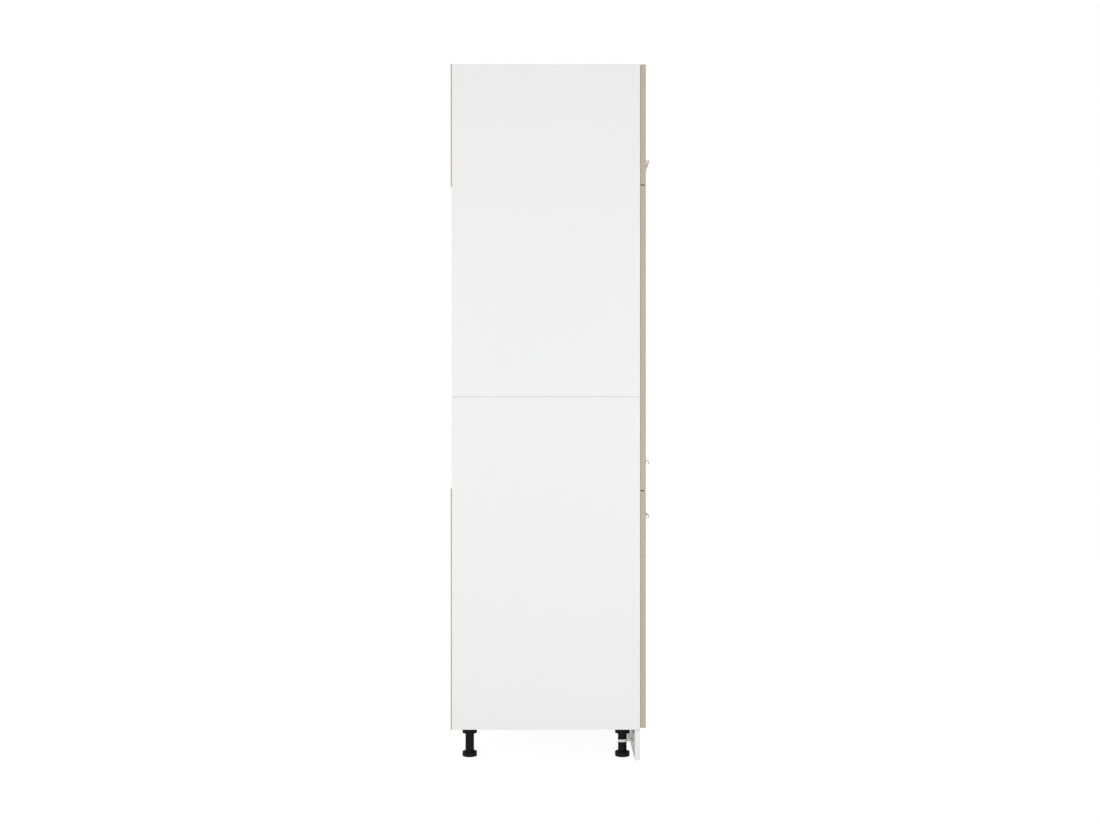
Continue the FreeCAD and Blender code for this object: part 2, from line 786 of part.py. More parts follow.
def mounting_plate():
    foot_front = "(mount_screw_setback - mount_foot_length / 2)"
    foot_rear = "(mount_screw_setback + mount_foot_length / 2)"
    foot_insets = ("board", "(board + mount_foot)")
    foot = hinge_box("mount_foot_block", foot_insets, (foot_front, foot_rear), "(mount_foot_height / 2)")
    block_setbacks = ("(arm_slot_length + 2 * arm_wall)", "arm_length")
    block = hinge_box("mount_block", ("board", MOUNT_TOP), block_setbacks, f"({ARM_INNER} - mount_play)")
    drills = [
        hole(f"mount_{half}", "mount_screw_diameter", "mount_foot",
             ("-board", "mount_screw_setback", f"{half} * mount_screw_spread"), "-X")
        for half in HALVES
    ]
    thread_mouth = (f"-{MOUNT_TOP}", "arm_screw_setback", "0")
    drills.append(hole("mount_thread", "arm_screw_diameter", "screw_bite", thread_mouth, "+X"))
    return cut("mounting_plate", fuse("mounting_blank", [foot, block]), drills)


def hinge_arm():
    half = "(arm_width / 2)"
    nose_insets = ("(arm_pivot_inset - arm_nose)", "(arm_pivot_inset + arm_nose)")
    channel = hinge_box("arm_channel", (ARM_START, "arm_top"), ("arm_slot_length", "arm_length"), half)
    neck = hinge_box("arm_neck", nose_insets, ("-arm_pivot_reach", "(arm_slot_length + arm_nose)"), half)
    nose = cylinder("arm_nose_round", "2 * arm_nose", "arm_width", ARM_PIVOT + (f"-{half}",))
    hollow_insets = (f"({ARM_START} - arm_wall)", "(arm_top - arm_wall)")
    hollow = hinge_box("arm_hollow", hollow_insets, ("arm_slot_length", "(arm_length + arm_wall)"), ARM_INNER)
    slot_front = "(-arm_pivot_reach - 2 * arm_nose)"
    slot_insets = ("(arm_pivot_inset - 2 * arm_nose)", "(arm_pivot_inset + 2 * arm_nose)")
    slot = hinge_box("arm_slot", slot_insets, (slot_front, "arm_slot_length"), SLOT_HALF)
    bore = hole("arm_pin", "hinge_pin_diameter", "arm_width", ARM_PIVOT + (f"-{half}",), "+Z")
    screw_mouth = ("-arm_top", "arm_screw_setback", "0")
    screw_hole = hole("arm_screw", "arm_screw_diameter", "arm_wall", screw_mouth, "+X")
    return cut("hinge_arm", fuse("arm_blank", [channel, neck, nose]), [hollow, slot, bore, screw_hole])


def hinge_link():
    """The goose-necked link from the arm's pin to the cup's pin, which runs in a short slot."""
    arm_pin = point(*ARM_PIVOT, "-link_height / 2")
    cup_pin = point(*CUP_PIVOT, "-link_height / 2")
    angle = "link_neck_angle * 1 deg"
    neck = cup_pin + Vector(value(f"-link_neck * cos({angle})"), value(f"-link_neck * sin({angle})"), 0)
    inwards = (arm_pin - cup_pin).normalize()
    slot = value("link_slot")
    slot_end = cup_pin + inwards * slot
    route = Part.makePolygon([(cup_pin + slot_end) / 2, neck, arm_pin])
    rise = Vector(0, 0, value("link_height"))
    strap = Part.Face(route.makeOffset2D(value("link_half_width"))).extrude(rise)
    eye = Part.makeCylinder(value("link_eye"), rise.z, arm_pin)
    bore = value("hinge_pin_diameter / 2 + fit")
    slot_bore = value("hinge_pin_diameter / 2 + link_slot_play")
    channel = Part.makeBox(slot, 2 * slot_bore, rise.z, Vector(0, -slot_bore, 0))
    channel.Placement = Placement(cup_pin, Rotation(Vector(1, 0, 0), inwards))
    shape = strap.fuse(eye).removeSplitter().cut(channel)
    for pin, radius in ((arm_pin, bore), (cup_pin, slot_bore), (slot_end, slot_bore)):
        shape = shape.cut(Part.makeCylinder(radius, rise.z, pin))
    item = doc.addObject("Part::Feature", "hinge_link")
    item.Shape = shape
    return item


def hinge_cup():
    mouth = "-door_gap"
    shell = cylinder("cup_shell", "cup_diameter", "cup_depth", (f"-{CUP_INSET}", mouth, "0"), "-Y")
    flange_insets = ("(board + flange_start)", "(board + flange_start + flange_width)")
    flange = hinge_box("cup_flange", flange_insets, (mouth, CUP_FACE), "(flange_height / 2)")
    inside = "(cup_diameter - 2 * cup_wall)"
    hollow_depth = "(cup_depth - cup_floor + flange_thickness)"
    round_hollow = cylinder("cup_round", inside, hollow_depth, (f"-{CUP_INSET}", CUP_FACE, "0"), "-Y")
    far = f"({CUP_INSET} + cup_diameter / 2)"
    floor = f"({CUP_FACE} - {hollow_depth})"
    link_bay = hinge_box("cup_link_bay", ("0", far), (floor, CUP_FACE), f"({SLOT_HALF} + cup_play)")
    nose_bay_insets = ("(board + cup_wall)", far)
    nose_bay = hinge_box("cup_nose_bay", nose_bay_insets, (floor, CUP_FACE), "(arm_width / 2 + cup_wall)")
    hollow = doc.addObject("Part::Common", "cup_hollow")
    hollow.Base = round_hollow
    hollow.Tool = fuse("cup_bays", [link_bay, nose_bay])
    pin_foot = CUP_PIVOT + ("-arm_width / 2",)
    drills = [hollow, hole("cup_pin", "hinge_pin_diameter", "arm_width", pin_foot, "+Z")]
    for number, z in enumerate(cup_screw_levels("0")):
        screw_mouth = (f"-{CUP_INSET}", CUP_FACE, z)
        drills.append(hole(f"cup_screw_{number}", "screw_diameter", "flange_thickness", screw_mouth, "-Y"))
    return cut("hinge_cup", fuse("cup_blank", [shell, flange]), drills)


def hinge_places(names=DOORS):
    return [at(HALF_WIDTH, FRONT, level) for name in names for level in HINGES[name]]


def hinge_spots(x, y, offsets, turn, names=DOORS):
    """The same spot, or row of spots, on every hinge of the named doors."""
    return [
        at(f"{HALF_WIDTH} + {x}", f"{FRONT} + {y}", f"{level} + {offset}", turn)
        for name in names for level in HINGES[name] for offset in offsets
    ]


mount_screw_levels = [f"{half} * mount_screw_spread" for half in HALVES]
mount_screw = screw(
    "mount_screw", "mount_screw_diameter", "(screw_bite + mount_foot)",
    "mount_screw_head", "screw_head_height",
)
arm_screw = screw(
    "arm_screw", "arm_screw_diameter", "(arm_wall + screw_bite)", "screw_head", "screw_head_height",
)
link = hinge_link()
cup = hinge_cup()
hinge_pin = peg("hinge_pin", "hinge_pin_diameter", "arm_width")
cup_screw = panel_screw("cup_screw", "flange_thickness")
group("hinge_mounting_plates", mounting_plate(), hinge_places())
group("hinge_plate_screws", mount_screw,
      hinge_spots("-(board + mount_foot)", "mount_screw_setback", mount_screw_levels, "-X"))
group("hinge_arms", hinge_arm(), hinge_places())
group("hinge_arm_screws", arm_screw, hinge_spots("-arm_top", "arm_screw_setback", ["0"], "-X"))
group("hinge_arm_pins", hinge_pin, hinge_spots(*ARM_PIVOT, ["-arm_width / 2"], "+Z"))
for name in DOORS:
    group(f"{name}_hinge_links", link, hinge_places([name]))
    group(f"{name}_hinge_cups", cup, hinge_places([name]))
    group(f"{name}_cup_pins", hinge_pin, hinge_spots(*CUP_PIVOT, ["-arm_width / 2"], "+Z", [name]))
    screw_places = hinge_spots(f"-{CUP_INSET}", CUP_FACE, cup_screw_levels("0"), "+Y", [name])
    group(f"{name}_cup_screws", cup_screw, screw_places)

# Legs: a socket under the bottom panel, a column in it and a foot that screws into the column
socket_drills = [
    cylinder("socket_bore", "column_diameter + 2 * fit", "socket_bore_depth", ("0", "0", "-socket_height")),
]
well_depth = "(socket_height - socket_floor)"
for turn in SOCKET_SCREW_TURNS:
    spot = tuple(f"socket_screw_circle / 2 * {part}({turn} deg)" for part in ("cos", "sin"))
    well_mouth = spot + ("-socket_height",)
    socket_drills.append(cylinder(f"socket_well_{turn}", "socket_well", well_depth, well_mouth))
    screw_mouth = spot + ("-socket_floor",)
    socket_drills.append(hole(f"socket_screw_{turn}", "screw_diameter", "socket_floor", screw_mouth, "+Z"))
socket_blank = cylinder("socket_blank", "socket_diameter", "socket_height", ("0", "0", "-socket_height"))
socket = cut("socket", socket_blank, socket_drills)
COLUMN_BOTTOM = "(foot_height + foot_gap)"
COLUMN_TOP = "(leg_height - socket_height + socket_bore_depth)"
COLUMN_LENGTH = f"({COLUMN_TOP} - {COLUMN_BOTTOM})"
column_base = ("0", "0", COLUMN_BOTTOM)
column_blank = cylinder("column_blank", "column_diameter", COLUMN_LENGTH, column_base)
column_hollow = cylinder("column_hollow", "column_bore", f"{COLUMN_LENGTH} - column_roof", column_base)
column = cut("column", column_blank, [column_hollow])
group("leg_sockets", socket, [at(x, y, "leg_height") for x, y in leg_spots()])
group("leg_columns", column, [at(x, y, "0") for x, y in leg_spots()])
group("leg_screws", panel_screw("leg_screw", "socket_floor"), [
    at(x, y, "leg_height - socket_floor", "-Z") for x, y in socket_screw_spots()
])


def foot(label, x, y):
    """A round foot with a stem that screws up into its column."""
    body = doc.addObject("PartDesign::Body", label)
    rim = "foot_diameter / 2"
    stem = "(column_bore / 2 - foot_stem_play)"
    top = "foot_height + foot_stem_length"
    corners = [
        ("0", "0"),
        (f"{rim} - foot_sole_chamfer", "0"),
        (rim, "foot_sole_chamfer"),
        (rim, "foot_height - foot_chamfer"),
        (f"{rim} - foot_chamfer", "foot_height"),
        (stem, "foot_height"),
        (stem, top),
        ("0", top),
    ]
    sketch = outline(body, f"{label}_profile", "XZ_Plane", corners)
    turning = body.newObject("PartDesign::Revolution", f"{label}_turning")
    turning.Profile = sketch
    turning.ReferenceAxis = (sketch, ["V_Axis"])
    turning.Angle = 360
    place(body, (x, y, "0"))
    return keep(label, body)


for hand, x in zip(("left", "right"), LEG_COLUMNS):
    for row, y in LEG_ROWS.items():
        foot(f"{row}_{hand}_foot", x, y)

# Plinth with two clips that grip the front columns
PLINTH_BACK = f"({FRONT} + plinth_thickness)"
CLIP_SCREWS = [f"{half} * clip_screw_spread" for half in HALVES]
CLIP_LEVEL = "(leg_height - socket_height - clip_drop)"
CLIP_MIDDLE = f"({CLIP_LEVEL} + clip_height / 2)"
plinth_drills = [
    hole(f"plinth_{hand}_{number}", "screw_diameter", "screw_bite",
         (f"{x} + {offset}", PLINTH_BACK, CLIP_MIDDLE), "-Y")
    for hand, x in enumerate(LEG_COLUMNS) for number, offset in enumerate(CLIP_SCREWS)
]
plinth_lengths = ("overall_width", "plinth_thickness", "leg_height - plinth_top_gap - plinth_floor_gap")
plinth_blank = rounded_board("plinth_board", plinth_lengths, (f"-{HALF_WIDTH}", FRONT, "plinth_floor_gap"))
keep("plinth_board", cut("plinth_board", plinth_blank, plinth_drills))


def plinth_clip():
    """A fork round the column on a base against the plinth's back, with a web above; on the column's axis."""
    bore = "(column_diameter + 2 * clip_play)"
    around = f"({bore} + 2 * clip_wall)"
    reach = "(leg_front_setback - plinth_thickness)"
    ring = cylinder("clip_ring", around, "clip_height", ("0", "0", "0"))
    tines = box("clip_tines", (around, "column_diameter / 2", "clip_height"), (f"-{around} / 2", "0", "0"))
    neck = box("clip_neck_block", ("clip_neck", reach, "clip_height"), ("-clip_neck / 2", f"-{reach}", "0"))
    base_lengths = ("clip_base_width", "clip_base_thickness", "clip_base_height")
    base = box("clip_base", base_lengths, ("-clip_base_width / 2", f"-{reach}", "-clip_base_drop"))
    web_top = "(clip_drop - clip_web_gap)"
    web_radius = f"({web_top} - clip_height / 2)"
    web_corner = ("-clip_web / 2", f"-{bore} / 2", web_top)
    web_round = cylinder("clip_web_round", f"2 * {web_radius}", "clip_web", web_corner, "+X")
    web_lengths = ("clip_web", f"{reach} - {bore} / 2", web_radius)
    web = doc.addObject("Part::Common", "clip_web_quarter")
    web.Base = web_round
    web.Tool = box("clip_web_block", web_lengths, ("-clip_web / 2", f"-{reach}", "clip_height / 2"))
    bore_round = cylinder("clip_bore", bore, "clip_height", ("0", "0", "0"))
    mouth = box("clip_mouth", (bore, around, "clip_height"), (f"-{bore} / 2", "0", "0"))
    screw_holes = [
        hole(f"clip_{number}", "screw_diameter", "clip_base_thickness",
             (offset, f"-{reach}", "clip_height / 2"), "+Y")
        for number, offset in enumerate(CLIP_SCREWS)
    ]
    ends_corner = (f"-{around} / 2", "column_diameter / 2", "0")
    ring_ends = box("clip_ring_ends", (around, around, "clip_height"), ends_corner)
    tools = [bore_round, mouth, ring_ends] + screw_holes
    return cut("plinth_clip", fuse("clip_blank", [ring, tines, neck, base, web]), tools)


front_row = LEG_ROWS["front"]
group("plinth_clips", plinth_clip(), [at(x, front_row, CLIP_LEVEL) for x in LEG_COLUMNS])
group("plinth_clip_screws", panel_screw("clip_screw", "clip_base_thickness"), [
    at(f"{x} + {offset}", f"{PLINTH_BACK} + clip_base_thickness", CLIP_MIDDLE, "+Y")
    for x in LEG_COLUMNS for offset in CLIP_SCREWS
])

doc.recompute()
for item in doc.Objects:
    if "Invalid" in item.State or "Error" in item.State:
        raise RuntimeError(f"{item.Label} failed: {item.State}")
for node in nodes:
    if node.Shape.isNull() or not node.Shape.isValid() or not node.Shape.Solids:
        raise RuntimeError(f"{node.Label} has no valid shape")

os.makedirs("parts", exist_ok=True)
for node in nodes:
    node.Shape.exportStep(f"parts/{node.Label}.step")
    print(node.Label, len(node.Shape.Solids), round(node.Shape.Volume))
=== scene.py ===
"""Finishes, small fittings and stage for the fridge housing cabinet.

Everything is in metres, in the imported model's frame: +Z up, the doors face -Y.
"""
import math

import bmesh
import bpy
from bpy.props import FloatProperty, FloatVectorProperty, PointerProperty
from mathutils import Matrix, Vector


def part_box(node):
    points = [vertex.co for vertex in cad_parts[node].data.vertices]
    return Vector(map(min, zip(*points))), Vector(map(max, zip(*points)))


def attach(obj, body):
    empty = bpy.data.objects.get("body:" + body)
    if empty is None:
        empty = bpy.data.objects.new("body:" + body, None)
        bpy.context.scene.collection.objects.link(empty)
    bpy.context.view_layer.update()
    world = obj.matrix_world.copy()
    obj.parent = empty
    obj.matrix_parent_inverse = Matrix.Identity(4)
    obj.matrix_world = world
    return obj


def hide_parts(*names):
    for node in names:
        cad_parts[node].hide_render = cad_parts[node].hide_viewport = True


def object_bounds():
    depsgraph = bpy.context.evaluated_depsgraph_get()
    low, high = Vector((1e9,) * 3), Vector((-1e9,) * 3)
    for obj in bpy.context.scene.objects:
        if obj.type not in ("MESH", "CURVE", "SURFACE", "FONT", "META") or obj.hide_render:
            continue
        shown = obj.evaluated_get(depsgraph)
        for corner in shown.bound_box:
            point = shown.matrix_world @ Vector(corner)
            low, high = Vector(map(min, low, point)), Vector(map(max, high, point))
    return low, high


bl_info = {
    "name": "Fridge housing cabinet",
    "version": (1, 0, 0),
    "blender": (4, 5, 0),
    "location": "View3D > Sidebar > Cabinet",
    "description": "Finishes, small fittings and stage for a tall kitchen cabinet",
    "category": "Object",
}

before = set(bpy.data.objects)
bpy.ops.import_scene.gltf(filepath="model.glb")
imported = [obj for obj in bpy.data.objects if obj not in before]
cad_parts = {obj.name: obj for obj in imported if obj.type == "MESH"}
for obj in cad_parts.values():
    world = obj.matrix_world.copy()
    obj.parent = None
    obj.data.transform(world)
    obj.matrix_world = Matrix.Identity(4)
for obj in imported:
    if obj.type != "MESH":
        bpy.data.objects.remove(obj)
CAD_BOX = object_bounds()

MM = 0.001
DOORS = ("top", "middle", "bottom")
FEET = ("front_left_foot", "front_right_foot", "rear_left_foot", "rear_right_foot")
SIDES = ("left_side_upper", "left_side_lower", "right_side_upper", "right_side_lower")
PANELS = ("top_panel", "niche_top_shelf", "niche_floor_shelf", "bottom_panel")

# Small lengths of the finishes and fittings
MERGE = 0.01 * MM
EDGE_BAND = 1.5 * MM
BAND_SEAM = 0.1 * MM
BOARD_BAND = 1.1 * MM
BOARD_SEAM = 0.09 * MM
# Half width of the dark band where the halves of a side meet: partly the seam line, partly painted shade of
# the gap
SIDE_SEAM_AND_SHADE = 0.45 * MM
RAW_EDGE = 0.25 * MM
ADJUSTER_AHEAD = 24.0 * MM
ADJUSTER_LIFT = 1.8 * MM
PIN_ROW_STEP = 32.0 * MM
PIN_PLAY = 0.05 * MM
FOOT_EDGE = 1.0 * MM
FLUTE_RIM = 0.5 * MM
THREAD_PITCH = 2.0 * MM

# A foot's rim has this many facets, and of every six facets two are sunk
FOOT_FACETS = 72
FLUTE_PERIOD = 6
FLUTE_FACETS = 2
# One turn of the thread: land, run down, root and run up as shares of the pitch,
# and the root's share of the width
THREAD_TURN = (0.35, 0.2, 0.25, 0.2)
THREAD_ROOT = 0.92
# Edges sharper than this are eased, and facets flatter than this are merged first;
# the hinge arms' edges are rounder than those of the other pressed parts
SHARP_ANGLE = math.radians(50.0)
FLAT_ANGLE = math.radians(1.0)
ARM_EASE = 2.5
# Shares of a normal or an edge along an axis: facing its way, square to it, in line with it
TOWARDS = 0.7
SQUARE = 0.9
PARALLEL = 0.99

WHITE = (1.0, 1.0, 1.0, 1.0)
FLOOR_SIZE = 60.0
FLOOR_PAINT = (0.92, 0.92, 0.92, 1.0)
FLOOR_ROUGHNESS = 0.9
# Share of the floor that is plain white where it is seen, and the white that makes
# the lit floor meet the backdrop
FLOOR_WHITE_SHARE = 0.85
FLOOR_WHITE = 1.09
# Lamps: distance from the near side, spread and level of the side pair;
# share of the fill power and place of the rest
SIDE_LAMPS = (4.6, 1.7, 1.2)
SIDE_LAMP_SIZE = 1.8
FILL_LAMP_SIZE = 3.0
FILL_LAMPS = {
    "front_lamp": (1.0, (1.4, -5.0, 2.0)),
    "right_lamp": (0.4, (5.0, -0.8, 1.4)),
    "rear_lamp": (0.7, (1.2, 5.0, 2.0)),
}


def per_door(*kinds):
    return [f"{door}_{kind}" for door in DOORS for kind in kinds]


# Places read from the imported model
def islands(node):
    """Lowest and highest corners of the separate solids of one CAD node, from the lowest up."""
    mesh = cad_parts[node].data
    shape = bmesh.new()
    shape.from_mesh(mesh)
    bmesh.ops.remove_doubles(shape, verts=shape.verts, dist=MERGE)
    boxes = []
    seen = set()
    for start in shape.verts:
        if start in seen:
            continue
        group = [start]
        seen.add(start)
        for vert in group:
            for edge in vert.link_edges:
                other = edge.other_vert(vert)
                if other not in seen:
                    seen.add(other)
                    group.append(other)
        low = Vector(min(vert.co[axis] for vert in group) for axis in range(3))
        high = Vector(max(vert.co[axis] for vert in group) for axis in range(3))
        boxes.append((low, high))
    shape.free()
    return sorted(boxes, key=lambda pair: (round(pair[0].z, 4), round(pair[0].x, 4), round(pair[0].y, 4)))


def middle(box):
    return (box[0] + box[1]) / 2


CARCASS_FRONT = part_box("left_side_lower")[0].y
CARCASS_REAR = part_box("left_side_lower")[1].y
SIDE_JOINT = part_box("left_side_lower")[1].z
INNER_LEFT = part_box("bottom_panel")[0].x
INNER_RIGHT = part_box("bottom_panel")[1].x
DOOR_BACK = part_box("top_door")[1].y


# What a user would change
def colour(title, text, value):
    return FloatVectorProperty(
        name=title, description=text, default=value, size=3, subtype="COLOR", min=0.0, max=1.0,
    )


def length(title, text, value):
    return FloatProperty(
        name=title, description=text, default=value, subtype="DISTANCE", unit="LENGTH", min=0.0,
    )


class CabinetColours(bpy.types.PropertyGroup):
    """Colours of the cabinet's finishes."""

    melamine: colour("Melamine", "White face of the carcass boards", (0.862, 0.862, 0.864))
    front: colour("Front", "Ground tone of the door laminate", (0.505, 0.438, 0.313))
    fibreboard: colour("Fibreboard", "Cut edges of the back panels", (0.55, 0.31, 0.165))
    hardboard: colour("Hardboard", "Raw rear face of the back panels", (0.40, 0.28, 0.175))
    chips: colour("Chips", "Raw particle board at the rear edges", (0.47, 0.34, 0.20))
    handle: colour("Handles", "Satin nickel of the handles", (0.55, 0.54, 0.525))
    nickel: colour("Nickel", "Plated hinges", (0.60, 0.59, 0.57))
    steel: colour("Steel", "Screws, pins and plates", (0.52, 0.53, 0.54))
    leg_plastic: colour("Leg plastic", "Legs and feet", (0.006, 0.006, 0.0065))
    clip_plastic: colour("Clip plastic", "Plinth clips", (0.70, 0.70, 0.69))
    beech: colour("Beech", "Dowels", (0.60, 0.42, 0.25))


class FittingSizes(bpy.types.PropertyGroup):
    """Sizes of the small fittings that are modelled here."""

    cap_radius: length("Cap radius", "Cover cap over a cam lock", 8.8 * MM)
    cap_height: length("Cap height", "How far a cover cap stands off its panel", 1.3 * MM)
    adjuster_radius: length("Adjuster radius", "Head of a hinge's adjusting screw", 3.1 * MM)
    adjuster_height: length("Adjuster height", "Height of that head", 1.7 * MM)
    sleeve_radius: length("Sleeve radius", "Rim of the sleeve in a shelf pin hole", 4.1 * MM)
    sleeve_height: length("Sleeve height", "How far that rim stands off the side", 0.8 * MM)
    flute_depth: length("Flute depth", "Grip flutes round a foot", 0.8 * MM)
    plate_corner: length("Plate corner", "Rounding of the corners of plates and cup flanges", 4.0 * MM)
    pressed_edge: length("Pressed edge", "Easing of the edges of pressed parts", 0.3 * MM)


class StageSettings(bpy.types.PropertyGroup):
    """Camera and light of the studio."""

    camera_distance: length("Camera distance", "From the near side to the camera", 3.94)
    camera_height: length("Camera height", "Level of the camera above the floor", 1.036)
    camera_shift: length("Camera shift", "How far the camera stands before the carcass's middle", 12.0 * MM)
    lens: FloatProperty(name="Lens", description="Focal length in millimetres", default=43.4, min=1.0)
    side_light: FloatProperty(
        name="Side light", description="Power of each of the two lamps beside the camera", default=50.0,
        subtype="POWER", unit="POWER", min=0.0,
    )
    fill_light: FloatProperty(
        name="Fill light", description="Power of the lamps for the other sides", default=80.0,
        subtype="POWER", unit="POWER", min=0.0,
    )
    ambience: FloatProperty(name="Ambience", description="Light from all round", default=0.5, min=0.0)


# Shader maths
class Wire:
    """A shader socket that can be used in Python expressions."""

    def __init__(self, tree, socket=None):
        self.tree = tree
        self.socket = socket

    def node(self, kind, settings=None, inputs=None, output=0):
        """Adds a node, sets it up, feeds its sockets and gives one of its outputs."""
        made = self.tree.nodes.new(kind)
        for name, value in (settings or {}).items():
            if name == "stops":
                set_stops(made.color_ramp, value)
            else:
                setattr(made, name, value)
        for name, value in (inputs or {}).items():
            if isinstance(value, Wire):
                self.tree.links.new(value.socket, made.inputs[name])
            else:
                made.inputs[name].default_value = value
        return Wire(self.tree, made.outputs[output])

    def math(self, operation, *values):
        return self.node("ShaderNodeMath", {"operation": operation}, dict(enumerate(values)))

    def __add__(self, other):
        return self.math("ADD", self, other)

    def __radd__(self, other):
        return self.math("ADD", other, self)

    def __sub__(self, other):
        return self.math("SUBTRACT", self, other)

    def __rsub__(self, other):
        return self.math("SUBTRACT", other, self)

    def __mul__(self, other):
        return self.math("MULTIPLY", self, other)

    def __rmul__(self, other):
        return self.math("MULTIPLY", other, self)

    def __gt__(self, other):
        return self.math("GREATER_THAN", self, other)

    def __lt__(self, other):
        return self.math("LESS_THAN", self, other)

    def __abs__(self):
        return self.math("ABSOLUTE", self)


def set_stops(ramp, stops):
    """Sets a ramp's stops, each a place with a colour."""
    while len(ramp.elements) < len(stops):
        ramp.elements.new(0.5)
    for element, (place, value) in zip(ramp.elements, stops):
        element.position = place
        element.color = (*value, 1.0)


class Finish:
    """A material under way: its tree, the surface's own coordinates and its shader."""

    def __init__(self, name):
        self.material = bpy.data.materials.new(name)
        self.material.use_nodes = True
        self.tree = self.material.node_tree
        self.surface = self.tree.nodes["Principled BSDF"]
        self.wire = Wire(self.tree)
        self.place = self.wire.node("ShaderNodeTexCoord", output="Object")
        self.facing = self.wire.node("ShaderNodeTexCoord", output="Normal")

    def set(self, name, value):
        if isinstance(value, Wire):
            self.tree.links.new(value.socket, self.surface.inputs[name])
        elif hasattr(value, "__len__"):
            self.surface.inputs[name].default_value = (*value, 1.0)
        else:
            self.surface.inputs[name].default_value = value

    def axis(self, name, vector=None):
        return self.wire.node("ShaderNodeSeparateXYZ", None, {0: vector or self.place}, name)

    def stretched(self, scale):
        return self.wire.node("ShaderNodeMapping", None, {"Vector": self.place, "Scale": scale})

    def noise(self, scale, detail=3.0, vector=None, rough=0.55):
        inputs = {"Vector": vector or self.place, "Scale": scale, "Detail": detail, "Roughness": rough}
        return self.wire.node("ShaderNodeTexNoise", None, inputs, "Fac")

    def cells(self, scale, output="Distance", vector=None):
        inputs = {"Vector": vector or self.place, "Scale": scale}
        return self.wire.node("ShaderNodeTexVoronoi", None, inputs, output)

    def ramp(self, factor, stops):
        return self.wire.node("ShaderNodeValToRGB", {"stops": stops}, {0: factor}, "Color")

    def blend(self, factor, first, second):
        """A mix of two colours."""
        def flat(value):
            return value if isinstance(value, Wire) else (*value, 1.0)

        settings = {"data_type": "RGBA", "blend_type": "MIX"}
        return self.wire.node("ShaderNodeMix", settings, {0: factor, 6: flat(first), 7: flat(second)}, 2)

    def bump(self, height, distance, strength=1.0, under=None):
        inputs = {"Height": height, "Distance": distance, "Strength": strength}
        if under is not None:
            inputs["Normal"] = under
        return self.wire.node("ShaderNodeBump", None, inputs, "Normal")


def shade(value, factor):
    return tuple(min(1.0, channel * factor) for channel in value)


def dress(finish, *names):
    """Puts a finish on CAD nodes by name."""
    for name in names:
        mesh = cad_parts[name].data
        mesh.materials.clear()
        mesh.materials.append(finish.material)


# Finishes
def melamine_finish(name, tone, chips, raw_rear):
    """White melamine with a fine pearl grain and a dark band at the sides' joint, partly seam line and
    partly painted shade; the rear edges show the raw board where asked.
    """
    finish = Finish(name)
    clouds = finish.noise(2.2, 2.0)
    ground = finish.blend(clouds, shade(tone, 0.992), shade(tone, 1.006))
    pearl = finish.noise(1400.0, 2.0)
    rub = finish.noise(9.0, 4.0)
    roughness = 0.34 + 0.1 * rub + 0.06 * pearl
    height = pearl
    seam = abs(finish.axis("Y") - (CARCASS_FRONT + BOARD_BAND)) < BOARD_SEAM
    ground = finish.blend(seam * 0.35, ground, shade(tone, 0.55))
    # Where the two halves of a side meet, a dark band is painted in: partly the real seam line, partly
    # painted shade of the narrow gap between the halves
    seam_and_shade = abs(finish.axis("Z") - SIDE_JOINT) < SIDE_SEAM_AND_SHADE
    ground = finish.blend(seam_and_shade, ground, shade(tone, 0.35))
    if raw_rear:
        rear = (finish.axis("Y") > CARCASS_REAR - RAW_EDGE) * (finish.axis("Y", finish.facing) > TOWARDS)
        flakes = finish.cells(320.0, "Color", finish.stretched((1.0, 1.0, 0.35)))
        grit = finish.noise(900.0, 4.0)
        flake = finish.wire.node("ShaderNodeSeparateColor", None, {0: flakes}, "Red")
        core = finish.ramp(0.6 * flake + 0.4 * grit, [
            (0.15, shade(chips, 0.55)), (0.5, chips), (0.85, shade(chips, 1.5)),
        ])
        ground = finish.blend(rear, ground, core)
        roughness = roughness + 0.45 * rear
        height = height + 2.0 * (rear * grit)
    finish.set("Base Color", ground)
    finish.set("Roughness", roughness)
    finish.set("Normal", finish.bump(height, 0.02 * MM, 0.5))
    finish.set("Specular IOR Level", 0.4)
    return finish


def front_finish(name, tone, box):
    """Sand-coloured laminate with a quiet upright grain, and plain edge bands with their seams."""
    low, high = box
    finish = Finish(name)
    drift = finish.noise(1.6, 2.0, finish.stretched((1.0, 1.0, 0.22)))
    grain = finish.noise(70.0, 6.0, finish.stretched((1.0, 1.0, 0.045)), 0.62)
    pores = finish.noise(520.0, 3.0, finish.stretched((1.0, 1.0, 0.022)), 0.5)
    pore = finish.wire.node("ShaderNodeMapRange", None, {
        "Value": pores, "From Min": 0.60, "From Max": 0.72, "To Min": 0.0, "To Max": 1.0,
    })
    board = finish.ramp(0.55 * grain + 0.45 * drift, [
        (0.25, shade(tone, 0.90)), (0.5, tone), (0.75, shade(tone, 1.09)),
    ])
    board = finish.blend(0.35 * pore, board, shade(tone, 0.72))
    streaks = finish.noise(900.0, 2.0, finish.stretched((1.0, 1.0, 0.01)))
    band_tone = finish.blend(streaks, shade(tone, 0.955), shade(tone, 1.035))
    on_face = abs(finish.axis("Y", finish.facing)) > TOWARDS
    surface = finish.blend(on_face, band_tone, board)
    across = abs(finish.axis("X") - (low.x + high.x) / 2)
    along = abs(finish.axis("Z") - (low.z + high.z) / 2)
    seam_x = abs(across - ((high.x - low.x) / 2 - EDGE_BAND)) < BAND_SEAM
    seam_z = abs(along - ((high.z - low.z) / 2 - EDGE_BAND)) < BAND_SEAM
    seam = finish.wire.math("MAXIMUM", seam_x, seam_z) * on_face
    surface = finish.blend(0.5 * seam, surface, shade(tone, 0.6))
    finish.set("Base Color", surface)
    finish.set("Roughness", 0.44 + 0.12 * grain + 0.1 * pore)
    relief = 0.35 * grain - 1.0 * pore
    finish.set("Normal", finish.bump(relief * on_face, 0.05 * MM, 0.35))
    finish.set("Specular IOR Level", 0.35)
    return finish


